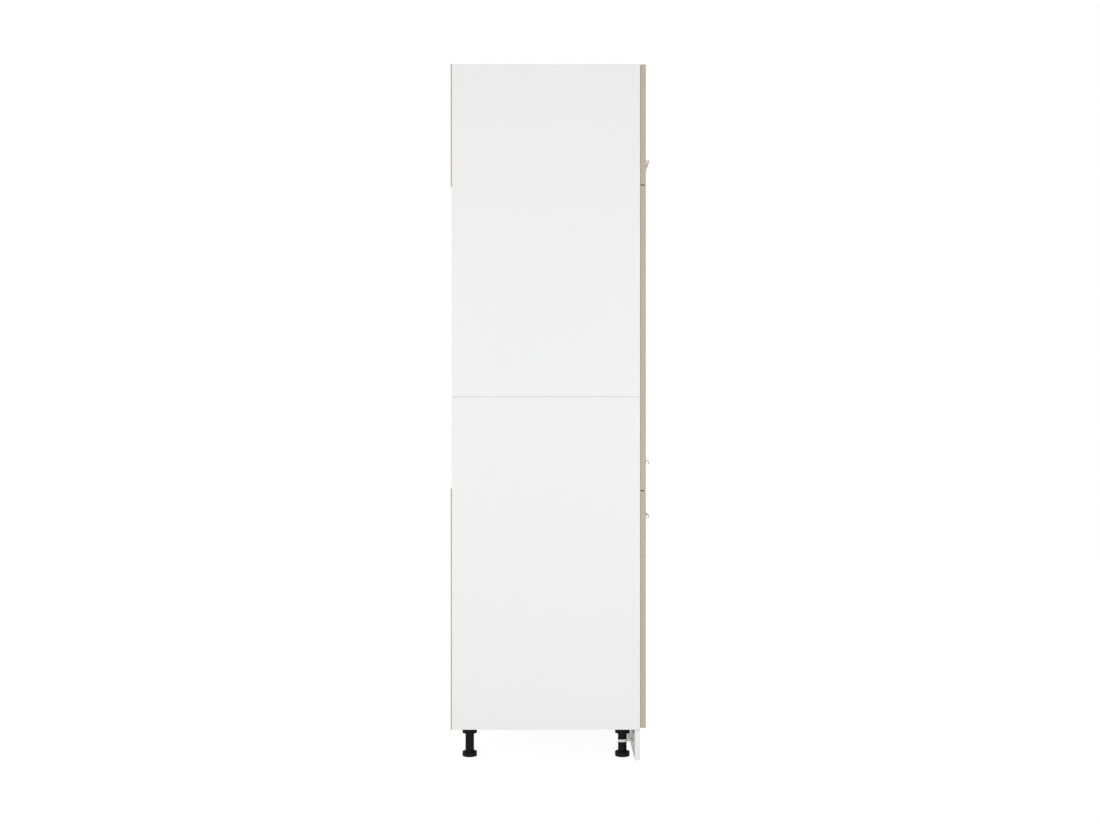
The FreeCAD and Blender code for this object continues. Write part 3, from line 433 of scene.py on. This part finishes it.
def back_finish(name, edge, raw, lacquer):
    """Thin fibreboard: lacquered white towards the cupboard, raw brown behind and paler at its cut edges."""
    finish = Finish(name)
    fibres = finish.noise(420.0, 6.0, finish.stretched((1.0, 1.0, 0.5)), 0.7)
    clouds = finish.noise(14.0, 4.0)
    brown = finish.ramp(0.6 * fibres + 0.4 * clouds, [
        (0.25, shade(raw, 0.80)), (0.5, raw), (0.75, shade(raw, 1.14)),
    ])
    layers = finish.noise(3000.0, 2.0, finish.stretched((0.02, 1.0, 0.02)))
    cut_edge = finish.blend(layers, shade(edge, 0.88), shade(edge, 1.10))
    inside = finish.axis("Y", finish.facing) < -TOWARDS
    outside = finish.axis("Y", finish.facing) > TOWARDS
    board = finish.blend(outside, cut_edge, brown)
    finish.set("Base Color", finish.blend(inside, board, lacquer))
    finish.set("Roughness", 0.78 - 0.38 * inside + 0.1 * clouds)
    finish.set("Normal", finish.bump(fibres, 0.04 * MM, 0.5))
    return finish


def metal_finish(name, tone, rough, way, wear=0.06):
    """Bright metal with fine brush marks across the given way."""
    finish = Finish(name)
    marks = finish.noise(1500.0, 3.0, finish.stretched(way), 0.6)
    clouds = finish.noise(40.0, 3.0)
    finish.set("Base Color", finish.blend(0.5 * marks + 0.5 * clouds, shade(tone, 0.93), shade(tone, 1.06)))
    finish.set("Metallic", 1.0)
    finish.set("Roughness", rough + wear * marks + wear * clouds)
    finish.set("Normal", finish.bump(marks, 0.01 * MM, 0.25))
    return finish


def moulded_finish(name, tone, rough, grain_scale, gloss=0.4):
    """Moulded plastic with a fine spark-eroded grain and faint rub marks."""
    finish = Finish(name)
    grain = finish.noise(grain_scale, 3.0)
    rub = finish.noise(26.0, 5.0)
    finish.set("Base Color", finish.blend(rub, shade(tone, 0.88), shade(tone, 1.12)))
    finish.set("Roughness", rough + 0.14 * rub + 0.05 * grain)
    finish.set("Normal", finish.bump(grain, 0.03 * MM, 0.4))
    finish.set("Specular IOR Level", gloss)
    return finish


def beech_finish(name, tone):
    finish = Finish(name)
    grain = finish.noise(240.0, 5.0, finish.stretched((0.2, 1.0, 1.0)))
    finish.set("Base Color", finish.blend(grain, shade(tone, 0.78), shade(tone, 1.15)))
    finish.set("Roughness", 0.62 + 0.15 * grain)
    finish.set("Normal", finish.bump(grain, 0.05 * MM, 0.4))
    return finish


def pad_finish(name):
    """Clear soft pads, slightly milky."""
    finish = Finish(name)
    milk = finish.noise(300.0, 3.0)
    finish.set("Base Color", finish.blend(milk, (0.74, 0.74, 0.72), (0.84, 0.84, 0.82)))
    finish.set("Roughness", 0.16 + 0.1 * milk)
    finish.set("Transmission Weight", 0.35)
    finish.set("IOR", 1.45)
    return finish


# Work at the bench
def clear_selection():
    if bpy.context.object is not None and bpy.context.object.mode != "OBJECT":
        bpy.ops.object.mode_set(mode="OBJECT")
    bpy.ops.object.select_all(action="DESELECT")


def turned_blank(name, radius, height, sides=48):
    """A round blank that stands on z = 0, in edit mode."""
    clear_selection()
    bpy.ops.mesh.primitive_cylinder_add(
        vertices=sides, radius=radius, depth=height, end_fill_type="NGON", location=(0, 0, height / 2),
    )
    piece = bpy.context.object
    piece.name = name
    piece.data.name = name
    bpy.ops.object.transform_apply(location=True, rotation=True, scale=True)
    bpy.ops.object.mode_set(mode="EDIT")
    return piece


def pick(kind, test):
    """Selects the faces or edges of the edited mesh that pass a test."""
    bpy.ops.mesh.select_mode(type=kind)
    bpy.ops.mesh.select_all(action="DESELECT")
    mesh = bpy.context.object.data
    shape = bmesh.from_edit_mesh(mesh)
    shape.normal_update()
    for item in shape.faces if kind == "FACE" else shape.edges:
        if test(item):
            item.select_set(True)
    bmesh.update_edit_mesh(mesh)


def faces_at(height, up):
    """A test for level faces at a height, facing up (1) or down (-1)."""
    def test(face):
        return face.normal.z * up > SQUARE and abs(face.calc_center_median().z - height) < MERGE

    return test


def rim_at(height, radius):
    """A test for the edges of a level circle."""
    def test(edge):
        return all(
            abs(vert.co.z - height) < MERGE and abs(math.hypot(vert.co.x, vert.co.y) - radius) < 5 * MERGE
            for vert in edge.verts
        )

    return test


def extrude(x, y, z):
    bpy.ops.mesh.extrude_region_move(TRANSFORM_OT_translate={"value": (x, y, z)})


def leave_edit():
    bpy.ops.mesh.select_all(action="SELECT")
    bpy.ops.mesh.normals_make_consistent(inside=False)
    bpy.ops.object.mode_set(mode="OBJECT")


def cut_cross(piece, long, wide, depth, top):
    """Cuts a cross for a driver into the top of a piece."""
    for number, size in enumerate(((long, wide), (wide, long))):
        clear_selection()
        bpy.ops.mesh.primitive_cube_add(size=1.0, location=(0, 0, top))
        blade = bpy.context.object
        blade.scale = (size[0], size[1], 2 * depth)
        bpy.ops.object.transform_apply(location=True, rotation=True, scale=True)
        clear_selection()
        piece.select_set(True)
        bpy.context.view_layer.objects.active = piece
        slot = piece.modifiers.new(f"cross_{number}", "BOOLEAN")
        slot.operation = "DIFFERENCE"
        slot.object = blade
        bpy.ops.object.modifier_apply(modifier=slot.name)
        bpy.data.objects.remove(blade)


def repeat(piece, name, places):
    """Copies a master to each place, each copy with its own mesh, and joins the copies into one piece."""
    copies = []
    for number, place in enumerate(places):
        copy = piece.copy()
        copy.data = piece.data.copy()
        copy.name = f"{name}_{number}"
        copy.data.transform(place)
        bpy.context.scene.collection.objects.link(copy)
        copies.append(copy)
    clear_selection()
    for copy in copies:
        copy.select_set(True)
    bpy.context.view_layer.objects.active = copies[0]
    if len(copies) > 1:
        bpy.ops.object.join()
    joined = bpy.context.view_layer.objects.active
    joined.name = name
    joined.data.name = name
    return joined


def discard(piece):
    mesh = piece.data
    bpy.data.objects.remove(piece)
    bpy.data.meshes.remove(mesh)


def fit(piece, body, finish, angle=35.0):
    """Smooths a finished piece, gives it its finish and lets it ride on its body."""
    clear_selection()
    piece.select_set(True)
    bpy.context.view_layer.objects.active = piece
    bpy.ops.object.shade_smooth_by_angle(angle=math.radians(angle))
    piece.data.materials.clear()
    piece.data.materials.append(finish)
    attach(piece, body)
    return piece


def facing(point, turn):
    """The placement of a master that stands on z = 0, moved to a point and turned."""
    turns = {
        "down": Matrix.Rotation(math.pi, 4, "X"),
        "left": Matrix.Rotation(-math.pi / 2, 4, "Y"),
        "right": Matrix.Rotation(math.pi / 2, 4, "Y"),
        "back": Matrix.Rotation(-math.pi / 2, 4, "X"),
        "up": Matrix.Identity(4),
    }
    return Matrix.Translation(point) @ turns[turn]


# Operators
class CABINET_OT_boards(bpy.types.Operator):
    """White melamine on the carcass, shelves and plinth, fibreboard on the back panels"""

    bl_idname = "cabinet.boards"
    bl_label = "Finish the boards"

    def execute(self, context):
        tones = context.scene.cabinet_colours
        carcass = melamine_finish("white_board", tones.melamine, tones.chips, True)
        dress(carcass, *SIDES, *PANELS, "cupboard_shelf")
        dress(melamine_finish("white_plinth", tones.melamine, tones.chips, False), "plinth_board")
        backs = back_finish("back_board", tones.fibreboard, tones.hardboard, shade(tones.melamine, 0.97))
        dress(backs, "upper_back_panel", "lower_back_panel")
        return {"FINISHED"}


class CABINET_OT_doors(bpy.types.Operator):
    """Sand laminate with matching edge bands on the doors"""

    bl_idname = "cabinet.doors"
    bl_label = "Finish the doors"

    def execute(self, context):
        tone = context.scene.cabinet_colours.front
        for name in DOORS:
            node = f"{name}_door"
            dress(front_finish(f"front_board_{name}", tone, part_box(node)), node)
        return {"FINISHED"}


class CABINET_OT_metal(bpy.types.Operator):
    """Satin nickel handles, plated hinges, bright screws and plates, beech dowels"""

    bl_idname = "cabinet.metal"
    bl_label = "Finish the metal and the dowels"

    def execute(self, context):
        tones = context.scene.cabinet_colours
        dress(metal_finish("satin_nickel", tones.handle, 0.25, (0.02, 1.0, 1.0)), *per_door("handle"))
        dress(
            metal_finish("nickel_plate", tones.nickel, 0.2, (1.0, 0.1, 1.0)),
            "hinge_mounting_plates", "hinge_arms", *per_door("hinge_cups", "hinge_links"),
        )
        dress(
            metal_finish("steel", tones.steel, 0.3, (1.0, 1.0, 1.0)),
            "hinge_arm_pins", "hinge_plate_screws", "hinge_arm_screws", "joint_plate_screws",
            "wall_bracket_screws", "leg_screws", "plinth_clip_screws", "back_nails", "cam_bolts",
            "shelf_pins",
            *per_door("cup_pins", "cup_screws", "handle_screws"),
        )
        casting = shade(tones.steel, 0.86)
        dress(metal_finish("zinc_casting", casting, 0.45, (1.0, 1.0, 1.0), 0.12), "cam_locks")
        dress(
            metal_finish("zinc_plate", shade(tones.steel, 1.06), 0.36, (1.0, 1.0, 0.05), 0.1),
            "side_joint_plates", "wall_brackets",
        )
        dress(beech_finish("beech_dowel", tones.beech), "panel_dowels", "side_dowels")
        return {"FINISHED"}


class CABINET_OT_pressed_parts(bpy.types.Operator):
    """Rounded corners and eased edges on the pressed hinge parts, the plates and the plinth clips"""

    bl_idname = "cabinet.pressed_parts"
    bl_label = "Ease the pressed parts"

    def execute(self, context):
        sizes = context.scene.cabinet_sizes
        corner = sizes.plate_corner
        edge = sizes.pressed_edge
        cups = {
            f"{door}_hinge_cups": (f"{door}_door_leaf", "nickel_plate", 1, corner, edge) for door in DOORS
        }
        parts = {
            "hinge_arms": ("carcass", "nickel_plate", None, 0.0, ARM_EASE * edge),
            "hinge_mounting_plates": ("carcass", "nickel_plate", 0, corner, edge),
            "side_joint_plates": ("carcass", "zinc_plate", 0, corner, edge),
            "wall_brackets": ("carcass", "zinc_plate", None, 0.0, edge),
            "plinth_clips": ("plinth", "grey_plastic", None, 0.0, edge),
            **cups,
        }
        for node, (body, slot, axis, round_off, ease) in parts.items():
            piece = self.eased(node, axis, round_off, ease)
            fit(piece, body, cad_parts[node].data.materials[0], 30.0)
            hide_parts(node)
        return {"FINISHED"}

    def eased(self, node, axis, corner, edge):
        """A merged copy of a CAD node, with the corners at its ends rounded and its edges eased."""
        ends = [(low.z, high.z) for low, high in islands(node)]
        clear_selection()
        piece = bpy.data.objects.new(f"{node}_eased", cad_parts[node].data.copy())
        piece.data.name = piece.name
        bpy.context.scene.collection.objects.link(piece)
        piece.select_set(True)
        bpy.context.view_layer.objects.active = piece
        bpy.ops.object.mode_set(mode="EDIT")
        bpy.ops.mesh.select_all(action="SELECT")
        bpy.ops.mesh.remove_doubles(threshold=MERGE / 2)
        bpy.ops.mesh.dissolve_limited(angle_limit=FLAT_ANGLE)

        def is_sharp(item):
            return item.is_manifold and item.is_convex and item.calc_face_angle() > SHARP_ANGLE

        def is_corner(item):
            first, second = (vert.co for vert in item.verts)
            along = abs((second - first).normalized()[axis]) > PARALLEL
            at_end = any(abs(first.z - end) < 10 * MERGE for span in ends for end in span)
            return along and at_end and is_sharp(item)

        if corner:
            pick("EDGE", is_corner)
            bpy.ops.mesh.bevel(offset=corner, segments=6, affect="EDGES", clamp_overlap=False)
        pick("EDGE", is_sharp)
        bpy.ops.mesh.bevel(offset=edge, segments=3, affect="EDGES", clamp_overlap=False)
        leave_edit()
        return piece


class CABINET_OT_plastics(bpy.types.Operator):
    """Black legs and grey plinth clips"""

    bl_idname = "cabinet.plastics"
    bl_label = "Finish the plastics"

    def execute(self, context):
        tones = context.scene.cabinet_colours
        black = moulded_finish("black_plastic", tones.leg_plastic, 0.42, 1600.0, 0.09)
        dress(black, "leg_sockets", "leg_columns", *FEET)
        dress(moulded_finish("grey_plastic", tones.clip_plastic, 0.38, 1800.0), "plinth_clips")
        dress(pad_finish("clear_pad"), *per_door("door_bumpers"))
        return {"FINISHED"}


class CABINET_OT_cam_caps(bpy.types.Operator):
    """White cover caps over the cam locks under each panel"""

    bl_idname = "cabinet.cam_caps"
    bl_label = "Add the cam caps"

    def execute(self, context):
        sizes = context.scene.cabinet_sizes
        radius = sizes.cap_radius
        height = sizes.cap_height
        cap = turned_blank("cam_cap_master", radius, height)
        pick("EDGE", rim_at(height, radius))
        bpy.ops.mesh.bevel(offset=0.6 * height, segments=3, affect="EDGES")
        pick("FACE", faces_at(height, 1))
        bpy.ops.mesh.inset(thickness=0.5 * radius, depth=0.0)
        bpy.ops.mesh.inset(thickness=0.06 * radius, depth=-0.25 * height)
        bpy.ops.mesh.inset(thickness=0.2 * radius, depth=0.0)
        leave_edit()
        places = []
        for low, high in islands("cam_locks"):
            places.append(facing(Vector(((low.x + high.x) / 2, (low.y + high.y) / 2, low.z)), "down"))
        plastic = moulded_finish("cap_plastic", context.scene.cabinet_colours.melamine, 0.35, 1500.0)
        fit(repeat(cap, "cam_caps", places), "carcass", plastic.material)
        discard(cap)
        return {"FINISHED"}


class CABINET_OT_hinge_adjusters(bpy.types.Operator):
    """Adjusting screws on the hinge arms, in front of their fixing screws"""

    bl_idname = "cabinet.hinge_adjusters"
    bl_label = "Add the hinge adjusters"

    def execute(self, context):
        sizes = context.scene.cabinet_sizes
        radius = sizes.adjuster_radius
        height = sizes.adjuster_height
        head = turned_blank("hinge_adjuster_master", radius, height, 32)
        pick("EDGE", rim_at(height, radius))
        bpy.ops.mesh.bevel(offset=0.45 * height, segments=4, affect="EDGES")
        leave_edit()
        cut_cross(head, 1.1 * radius, 0.28 * radius, 0.5 * height, height)
        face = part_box("hinge_mounting_plates")[0].x - ADJUSTER_LIFT
        places = []
        for box in islands("hinge_arm_screws"):
            fixing = middle(box)
            places.append(facing(Vector((face, fixing.y - ADJUSTER_AHEAD, fixing.z)), "left"))
        bright = metal_finish("adjuster_steel", context.scene.cabinet_colours.steel, 0.22, (1.0, 1.0, 1.0))
        fit(repeat(head, "hinge_adjusters", places), "carcass", bright.material)
        discard(head)
        return {"FINISHED"}


class CABINET_OT_pin_sleeves(bpy.types.Operator):
    """Rimmed sleeves in the shelf pin holes of the bottom cupboard"""

    bl_idname = "cabinet.pin_sleeves"
    bl_label = "Add the pin sleeves"

    def execute(self, context):
        sizes = context.scene.cabinet_sizes
        radius = sizes.sleeve_radius
        height = sizes.sleeve_height
        pins = islands("shelf_pins")
        bore = (pins[0][1].z - pins[0][0].z) / 2 + PIN_PLAY
        sleeve = turned_blank("pin_sleeve_master", radius, height, 40)
        pick("FACE", lambda face: abs(face.normal.z) > SQUARE)
        bpy.ops.mesh.inset(thickness=radius - bore, depth=0.0)
        bpy.ops.mesh.bridge_edge_loops()
        pick("EDGE", rim_at(height, radius))
        bpy.ops.mesh.bevel(offset=0.55 * height, segments=3, affect="EDGES")
        leave_edit()
        places = []
        for box in pins:
            at = middle(box)
            left = at.x < 0
            for rise in (-PIN_ROW_STEP, 0.0, PIN_ROW_STEP):
                spot = Vector((INNER_LEFT if left else INNER_RIGHT, at.y, at.z + rise))
                places.append(facing(spot, "right" if left else "left"))
        bright = metal_finish("sleeve_steel", context.scene.cabinet_colours.nickel, 0.25, (1.0, 1.0, 1.0))
        fit(repeat(sleeve, "pin_sleeves", places), "carcass", bright.material)
        discard(sleeve)
        return {"FINISHED"}


class CABINET_OT_bumper_pads(bpy.types.Operator):
    """Domed soft pads on the opening edge of each door"""

    bl_idname = "cabinet.bumper_pads"
    bl_label = "Add the bumper pads"

    def execute(self, context):
        low, high = islands("top_door_bumpers")[0]
        radius = (high.x - low.x) / 2
        height = high.y - low.y
        pad = turned_blank("bumper_pad_master", radius, height, 40)
        pick("EDGE", rim_at(height, radius))
        bpy.ops.mesh.bevel(offset=0.9 * height, segments=5, affect="EDGES")
        leave_edit()
        clear = pad_finish("pad_clear")
        for name in DOORS:
            node = f"{name}_door_bumpers"
            places = []
            for box in islands(node):
                seat = middle(box)
                seat.y = DOOR_BACK
                places.append(facing(seat, "back"))
            pads = repeat(pad, f"{name}_bumper_pads", places)
            fit(pads, f"{name}_door_leaf", clear.material)
            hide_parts(node)
        discard(pad)
        return {"FINISHED"}


class CABINET_OT_feet(bpy.types.Operator):
    """Feet with grip flutes and a threaded stem"""

    bl_idname = "cabinet.feet"
    bl_label = "Model the feet"

    def execute(self, context):
        depth = context.scene.cabinet_sizes.flute_depth
        low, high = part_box(FEET[0])
        radius = (high.x - low.x) / 2
        total = high.z - low.z
        height, stem = self.disc_and_stem(middle((low, high)), radius)
        foot = turned_blank("foot_master", radius, height, FOOT_FACETS)
        pick("EDGE", rim_at(height, radius))
        bpy.ops.mesh.bevel(offset=FOOT_EDGE, segments=3, affect="EDGES")
        pick("EDGE", rim_at(0.0, radius))
        bpy.ops.mesh.bevel(offset=FOOT_EDGE, segments=3, affect="EDGES")

        def is_flute(face):
            if abs(face.normal.z) > 1.0 - SQUARE:
                return False
            turn = math.atan2(face.normal.y, face.normal.x) / math.tau * FOOT_FACETS
            return int(math.floor(turn)) % FLUTE_PERIOD < FLUTE_FACETS

        pick("FACE", is_flute)
        bpy.ops.mesh.inset(thickness=FLUTE_RIM, depth=-depth)
        pick("FACE", faces_at(height, 1))
        bpy.ops.mesh.inset(thickness=radius - FOOT_EDGE - stem, depth=0.0)
        land, run_down, root, run_up = (share * THREAD_PITCH for share in THREAD_TURN)
        for _ in range(int((total - height) / THREAD_PITCH)):
            extrude(0, 0, land)
            extrude(0, 0, run_down)
            bpy.ops.transform.resize(value=(THREAD_ROOT, THREAD_ROOT, 1.0))
            extrude(0, 0, root)
            extrude(0, 0, run_up)
            bpy.ops.transform.resize(value=(1 / THREAD_ROOT, 1 / THREAD_ROOT, 1.0))
        leave_edit()
        tone = context.scene.cabinet_colours.leg_plastic
        plastic = moulded_finish("foot_plastic", tone, 0.4, 1500.0, 0.12)
        for name in FEET:
            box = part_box(name)
            at = middle(box)
            at.z = box[0].z
            piece = repeat(foot, f"{name}_fluted", [facing(at, "up")])
            fit(piece, name, plastic.material, 30.0)
            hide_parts(name)
        discard(foot)
        return {"FINISHED"}

    def disc_and_stem(self, axis, radius):
        """The height of the CAD foot's disc and the radius of its stem."""
        spots = [
            (math.hypot(vert.co.x - axis.x, vert.co.y - axis.y), vert.co.z)
            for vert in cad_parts[FEET[0]].data.vertices
        ]
        height = max(z for reach, z in spots if reach > 0.8 * radius)
        return height, max(reach for reach, z in spots if z > 2 * height)


class CABINET_OT_stage(bpy.types.Operator):
    """Pale floor, soft studio light and the camera at the photograph's angle"""

    bl_idname = "cabinet.stage"
    bl_label = "Set the stage"

    def execute(self, context):
        settings = context.scene.cabinet_stage
        self.floor()
        self.sky(context.scene, settings.ambience)
        near = CAD_BOX[0].x
        away, spread, level = SIDE_LAMPS
        for number, along in enumerate((-spread, spread)):
            place = (near - away, along, level)
            self.lamp(f"side_lamp_{number}", settings.side_light, place, SIDE_LAMP_SIZE)
        for name, (share, place) in FILL_LAMPS.items():
            lamp = self.lamp(name, share * settings.fill_light, place, FILL_LAMP_SIZE)
            lamp.visible_glossy = False
        data = bpy.data.cameras.new("camera")
        data.sensor_width = 36.0
        data.lens = settings.lens
        data.clip_end = 200.0
        camera = bpy.data.objects.new("camera", data)
        along = (CARCASS_FRONT + CARCASS_REAR) / 2 - settings.camera_shift
        camera.location = (near - settings.camera_distance, along, settings.camera_height)
        camera.rotation_euler = (math.pi / 2, 0.0, -math.pi / 2)
        context.scene.collection.objects.link(camera)
        context.scene.camera = camera
        context.scene.view_settings.view_transform = "Standard"
        return {"FINISHED"}

    def floor(self):
        clear_selection()
        bpy.ops.mesh.primitive_plane_add(size=FLOOR_SIZE, location=(0, 0, 0))
        floor = bpy.context.object
        floor.name = "floor"
        paint = bpy.data.materials.new("floor_paint")
        paint.use_nodes = True
        tree = paint.node_tree
        wire = Wire(tree)
        matte = tree.nodes["Principled BSDF"]
        matte.inputs["Base Color"].default_value = FLOOR_PAINT
        matte.inputs["Roughness"].default_value = FLOOR_ROUGHNESS
        white = wire.node("ShaderNodeEmission", None, {"Color": WHITE, "Strength": FLOOR_WHITE})
        seen = self.shown(wire) * FLOOR_WHITE_SHARE
        mixed = wire.node("ShaderNodeMixShader", None, {0: seen, 1: Wire(tree, matte.outputs[0]), 2: white})
        tree.links.new(mixed.socket, tree.nodes["Material Output"].inputs["Surface"])
        floor.data.materials.append(paint)

    def shown(self, wire):
        """1 for what the camera, mirrors and clear pieces see, 0 for light that falls on things."""
        rays = [
            wire.node("ShaderNodeLightPath", output=name)
            for name in ("Is Camera Ray", "Is Glossy Ray", "Is Transmission Ray")
        ]
        return wire.math("MINIMUM", rays[0] + rays[1] + rays[2], 1.0)

    def sky(self, scene, ambience):
        world = bpy.data.worlds.new("studio")
        world.use_nodes = True
        tree = world.node_tree
        wire = Wire(tree)
        strength = ambience + (1.0 - ambience) * self.shown(wire)
        background = tree.nodes["Background"]
        background.inputs["Color"].default_value = WHITE
        tree.links.new(strength.socket, background.inputs["Strength"])
        scene.world = world

    def lamp(self, name, power, place, size):
        """A square soft lamp that faces the middle of the cabinet and isn't seen itself."""
        data = bpy.data.lights.new(name, "AREA")
        data.shape = "SQUARE"
        data.size = size
        data.energy = power
        lamp = bpy.data.objects.new(name, data)
        lamp.location = place
        lamp.rotation_euler = (middle(CAD_BOX) - Vector(place)).to_track_quat("-Z", "Y").to_euler()
        lamp.visible_camera = False
        bpy.context.scene.collection.objects.link(lamp)
        return lamp


STEPS = (
    CABINET_OT_boards,
    CABINET_OT_doors,
    CABINET_OT_metal,
    CABINET_OT_plastics,
    CABINET_OT_pressed_parts,
    CABINET_OT_cam_caps,
    CABINET_OT_hinge_adjusters,
    CABINET_OT_pin_sleeves,
    CABINET_OT_bumper_pads,
    CABINET_OT_feet,
    CABINET_OT_stage,
)


class CABINET_PT_panel(bpy.types.Panel):
    """The cabinet's steps in the order that they run"""

    bl_label = "Fridge housing cabinet"
    bl_idname = "CABINET_PT_panel"
    bl_space_type = "VIEW_3D"
    bl_region_type = "UI"
    bl_category = "Cabinet"

    def draw(self, context):
        for step in STEPS:
            self.layout.operator(step.bl_idname)


GROUPS = {
    "cabinet_colours": CabinetColours,
    "cabinet_sizes": FittingSizes,
    "cabinet_stage": StageSettings,
}
CLASSES = (*GROUPS.values(), *STEPS, CABINET_PT_panel)


def register():
    for item in CLASSES:
        bpy.utils.register_class(item)
    for name, group in GROUPS.items():
        setattr(bpy.types.Scene, name, PointerProperty(type=group))


def unregister():
    for name in GROUPS:
        delattr(bpy.types.Scene, name)
    for item in reversed(CLASSES):
        bpy.utils.unregister_class(item)


def main():
    register()
    for step in STEPS:
        family, name = step.bl_idname.split(".")
        getattr(getattr(bpy.ops, family), name)()


if __name__ == "__main__":
    main()
